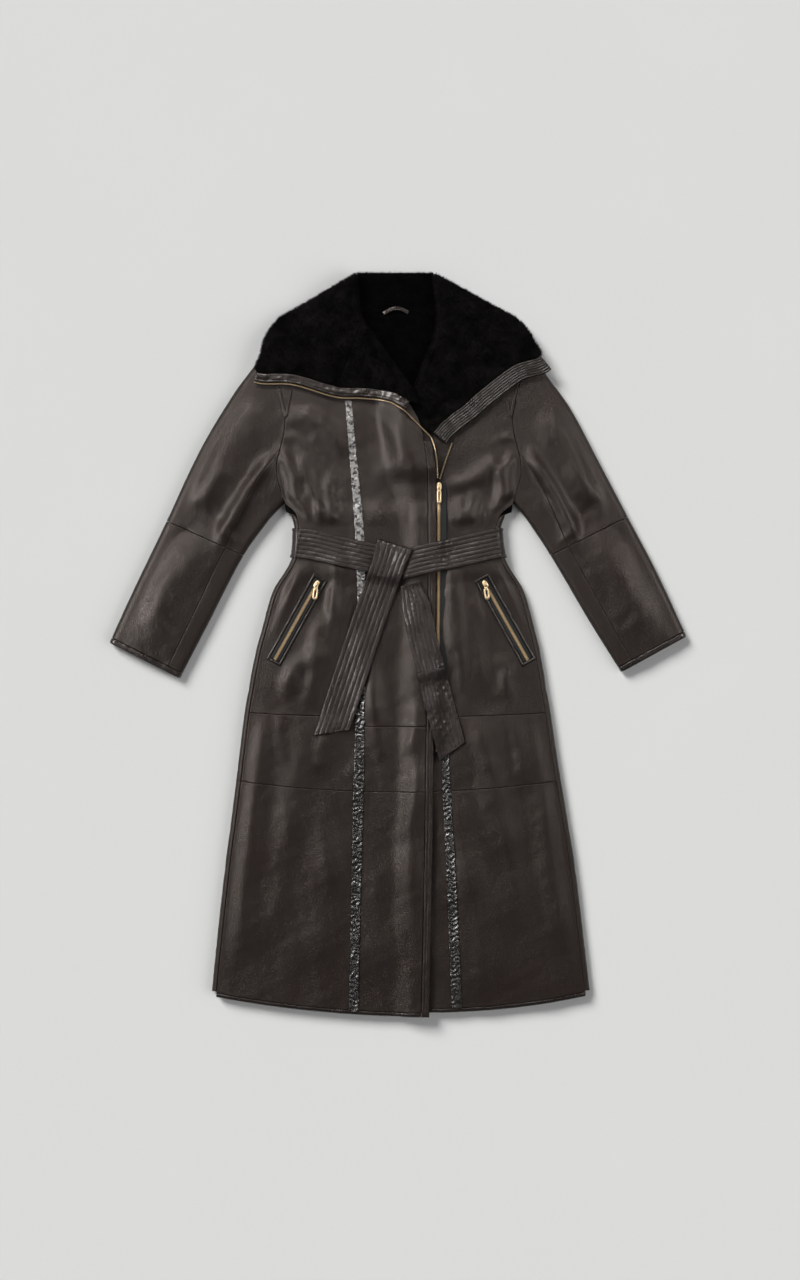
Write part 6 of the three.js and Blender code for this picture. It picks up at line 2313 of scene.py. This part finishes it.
@dataclass
class PullShape:
    """A pull: an eye round the slider's bridge and a tab with a slot."""

    zips: Zips
    name: str
    axle: Array
    lie: float
    tab: float
    long: float

    def build(self) -> None:
        """A ring for the eye and a longer ring for the slotted tab, leaning a little down."""
        turn = self.lie + math.pi / 2
        tilt = math.radians(3)
        rise, reach = math.sin(tilt), math.cos(tilt)
        lean = np.array([[1, 0, 0], [0, reach, rise], [0, -rise, reach]])
        eye, eye_faces = plate(stadium(5.6, 0.7, -8.6), -0.7, 0.7, 0.3, stadium(3.4, -0.7, -6.6))
        tab_out = stadium(self.tab, -6.4, -self.long, 0.82)
        slot = stadium(self.tab * 0.34, -11.0, -self.long + 4.2)
        tab, tab_faces = plate(tab_out, -0.7, 0.7, 0.3, slot)
        points = np.concatenate([eye, tab]) @ lean @ turned(turn) + self.axle
        faces = np.concatenate([facing_out(eye, eye_faces), facing_out(tab, tab_faces) + len(eye)])
        obj = mesh_object(f"metal_pull_{self.name}", points, faces, self.zips.finishes.gold)
        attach(obj, f"pull_{self.name}")
        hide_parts(f"pull_{self.name}")


# The direction in which each pocket's pull lies, in radians
POCKET_PULL = {Side.RIGHT: -1.69, Side.LEFT: -1.43}


@dataclass
class Pocket:
    """A welt pocket: glossy border, black recess, chain, slider and pull."""

    zips: Zips
    side: Side

    def build(self) -> None:
        """Makes the welt as a ring with a rounded profile, and the zip inside it."""
        x0, y0, x1, y1 = POCKETS[self.side]
        long = math.hypot(x1 - x0, y1 - y0)
        ax, ay = (x1 - x0) / long, (y1 - y0) / long
        top = FORM.right_top if self.side is Side.RIGHT else FORM.left_top
        half = WELT_WIDE / 2
        inset = WELT_BORDER * np.array([0, 0.04, 0.12, 0.25, 0.5, 0.75, 0.88, 0.96, 1])[None, :]
        steps = (44, 10, 44, 10)
        corners = ((0, -half, 1, 1), (long, -half, -1, 1), (long, half, -1, -1), (0, half, 1, -1))
        along, across = [], []
        for k, count in enumerate(steps):
            s0, w0, sx0, sw0 = corners[k]
            s1, w1, sx1, sw1 = corners[(k + 1) % 4]
            share = np.arange(count)[:, None] / count
            along.append(lerp(s0 + sx0 * inset, s1 + sx1 * inset, share))
            across.append(lerp(w0 + sw0 * inset, w1 + sw1 * inset, share))
        s, w = np.concatenate(along), np.concatenate(across)
        x, y = x0 + ax * s - ay * w, y0 + ay * s + ax * w
        level = top(x, y) + 0.35
        bulge = np.sqrt(1 - (2 * inset / WELT_BORDER - 1) ** 2 * 0.98)
        pucker = 0.16 * np.sin((s + w) / 1.2 + undulation(x, y, 91, 9))
        outer = np.stack([x, y, level + (WELT_THICK + 0.3) * bulge * (1 + pucker)], -1)
        inner = np.stack([x, y, level], -1)
        word = self.side.word
        zips = self.zips
        node = f"pocket_welt_{word}"
        zips.tailor.shell(f"welt_pocket_{word}", outer, inner, zips.finishes.binding, nodes=[node], ring=True)
        run = np.linspace(WELT_BORDER + 0.4, long - WELT_BORDER - 0.4, 60)
        px, py = x0 + ax * run, y0 + ay * run
        path = np.stack([px, py, top(px, py) + 0.5], -1)
        reach = half - WELT_BORDER - 0.3
        zips.ribbon(f"cloth_pocket_{word}", path, -reach, reach, 0.9)
        zips.chain(f"chain_pocket_{word}", path[6:] + [0, 0, 0.9], 2.8, [f"pocket_zip_{word}"])
        zips.head(f"pocket_{word}", math.atan2(ay, ax), POCKET_PULL[self.side], 9.0, 26.0)


@dataclass
class Trims:
    """Hanger loop and shoulder strips."""

    tailor: Tailor
    finishes: Finishes

    def build(self) -> None:
        """Makes the loop at the neck seam and the small V on each front."""
        path = Path(((-25.5, 561), (-14, 567), (-3, 569.5), (8, 567.5), (18, 562)))
        share = graded(path.long, 1.6)[:, None]
        x, y, tx, ty = path.at(share)
        off = 7.0 * (np.array([0, 0.06, 0.2, 0.4, 0.5, 0.6, 0.8, 0.94, 1])[None, :] - 0.5)
        x, y = x + ty * off, y - tx * off
        rise = WALL + 0.8 + 5.0 * np.sin(math.pi * share) ** 0.6
        outer = np.stack([x, y, rise + 2.0 + 0 * x], -1)
        inner = np.stack([x, y, rise + 0 * x], -1)
        outer = soften(outer, inner, Edges(0.9, 0.9, 0.5, 0.5), pucker=0)
        self.tailor.cloth("leather_hanger_loop", outer, inner, self.finishes.binding, nodes=["hanger_loop"])
        for side in Side:
            self.shoulder_strip(side)

    def shoulder_strip(self, side: Side) -> None:
        """Two narrow raised strips that meet in a point below the collar."""
        limit = 434 if side is Side.RIGHT else 412
        inner_line = ((-199, 434), (-190.5, 397), (-190, 396), (-189, 396), (-184, 430))
        outer_line = ((-203.5, 434), (-194, 388), (-191, 383), (-187.5, 387), (-179.5, 430))
        at = np.linspace(0, 4, 61)
        edges = []
        for line in (inner_line, outer_line):
            px, py = columns(line)
            edges.append((np.interp(at, range(5), px), np.minimum(np.interp(at, range(5), py), limit)))
        across = np.array([0, 0.1, 0.3, 0.5, 0.7, 0.9, 1])[None, :]
        x = -side.value * lerp(edges[0][0][:, None], edges[1][0][:, None], across)
        y = lerp(edges[0][1][:, None], edges[1][1][:, None], across)
        top = FORM.right_top if side is Side.RIGHT else FORM.left_top
        level = top(x, y)
        outer = np.stack([x, y, level + 2.3], -1)
        inner = np.stack([x, y, level + 0.2], -1)
        outer = soften(outer, inner, Edges(0.9, 0.9, 0.7, 0.7), pucker=0)
        name = f"shoulder_strip_{side.word}"
        self.tailor.cloth(f"leather_{name}", outer, inner, self.finishes.leather, nodes=[name])


# Stage


@dataclass
class Studio:
    """A pale floor, two lamps without highlights, three with nothing else, and a camera overhead."""

    height: float = 2.176
    centre: tuple[float, float] = (0.0034, 0.0075)
    lens: float = 85.0
    sensor: float = 36.0
    air: tuple[float, float, float, float] = (0.93, 0.95, 1.0, 1.0)
    paper: tuple[Colour, Colour] = ((0.79, 0.79, 0.772), (0.81, 0.81, 0.792))

    def build(self) -> None:
        """Sets the floor, the lamps and the camera."""
        self.floor()
        self.sun("key", (-1.0, 1.1, 1.15), 26.0, 3.0)
        self.sun("fill", (1.3, -0.4, 1.0), 50.0, 1.0)
        self.gloss("gloss left", (-2.0, 0.4, 1.8), 0.9, 58.0)
        self.gloss("gloss top", (-0.6, 2.0, 1.9), 0.8, 44.0)
        self.gloss("gloss right", (1.9, 0.7, 1.9), 0.8, 28.0)
        world = bpy.data.worlds.new("studio")
        world.use_nodes = True
        background = world.node_tree.nodes["Background"]
        background.inputs["Color"].default_value = self.air
        background.inputs["Strength"].default_value = 0.12
        bpy.context.scene.world = world
        bpy.context.scene.view_settings.view_transform = "Standard"
        self.camera()

    def camera(self) -> None:
        """A camera straight above the coat, as high as its lens needs for the picture's height."""
        camera = bpy.data.cameras.new("camera")
        camera.sensor_fit = "VERTICAL"
        camera.sensor_height = self.sensor
        camera.lens = self.lens
        camera.clip_end = 60.0
        eye = bpy.data.objects.new("camera", camera)
        eye.location = (*self.centre, self.height * self.lens / self.sensor)
        bpy.context.scene.collection.objects.link(eye)
        bpy.context.scene.camera = eye

    def floor(self) -> None:
        """A wide sheet of pale paper just under the coat, faintly mottled."""
        corners = np.array([[-1, -1], [1, -1], [1, 1], [-1, 1]]) * 9000.0
        points = np.c_[corners, np.full(4, -0.3)]
        tree = FinishTree("pale paper")
        mottle = tree.add("ShaderNodeTexNoise", in_Vector=tree.place, in_Scale=3.0, in_Detail=3.0)
        tree.colour(mottle.outputs[0], *self.paper)
        material = tree.fixed(Roughness=0.9, Specular_IOR_Level=0.1)
        mesh_object("floor", points, np.array([[0, 1, 2, 3]]), material)

    def stand(self, light: bpy.types.Light, place: tuple[float, float, float]) -> bpy.types.Object:
        """Sets a lamp at a place in metres, aimed at the coat's middle."""
        obj = bpy.data.objects.new(light.name, light)
        x, y, z = place
        obj.location = place
        obj.rotation_euler = (math.atan2(math.hypot(x, y), z), 0.0, math.atan2(y, x) + math.pi / 2)
        bpy.context.scene.collection.objects.link(obj)
        return obj

    def sun(self, name: str, towards: tuple[float, float, float], spread: float, strength: float) -> None:
        """An even light from one direction, with soft shadows and no highlights.

        Args:
            name: the lamp's name.
            towards: the direction in which the lamp stands.
            spread: its apparent size in degrees.
            strength: its strength in watts a square metre.
        """
        light = bpy.data.lights.new(name, "SUN")
        light.angle = math.radians(spread)
        light.energy = strength
        self.stand(light, towards).visible_glossy = False

    def gloss(self, name: str, place: tuple[float, float, float], size: float, power: float) -> None:
        """A small square lamp that only adds highlights.

        Args:
            name: the lamp's name.
            place: where it stands, in metres.
            size: its side, in metres.
            power: its power in watts.
        """
        light = bpy.data.lights.new(name, "AREA")
        light.size = size
        light.energy = power
        self.stand(light, place).visible_diffuse = False


def main() -> None:
    """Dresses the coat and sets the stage."""
    logging.basicConfig(level=logging.INFO)
    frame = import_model()
    joints = {joint["child"]: joint for joint in frame["joints"]}
    finishes = Finishes()
    tailor = Tailor(finishes.fur)
    Fronts(tailor, finishes).build()
    Back(tailor, finishes).build()
    Sleeves(tailor, finishes).build()
    Hems(tailor, finishes).build()
    Placket(tailor, finishes).build()
    SeamTape(tailor, finishes, Side.RIGHT, TAPE_RIGHT, FORM.right_top, 101).build()
    SeamTape(tailor, finishes, Side.LEFT, TAPE_LEFT, FORM.left_top, 111).build()
    Collar(tailor, finishes, FurGrower(tailor, finishes)).build()
    Belt(tailor, finishes).build()
    Zips(tailor, finishes, joints).build()
    Trims(tailor, finishes).build()
    Studio().build()


if __name__ == "__main__":
    main()
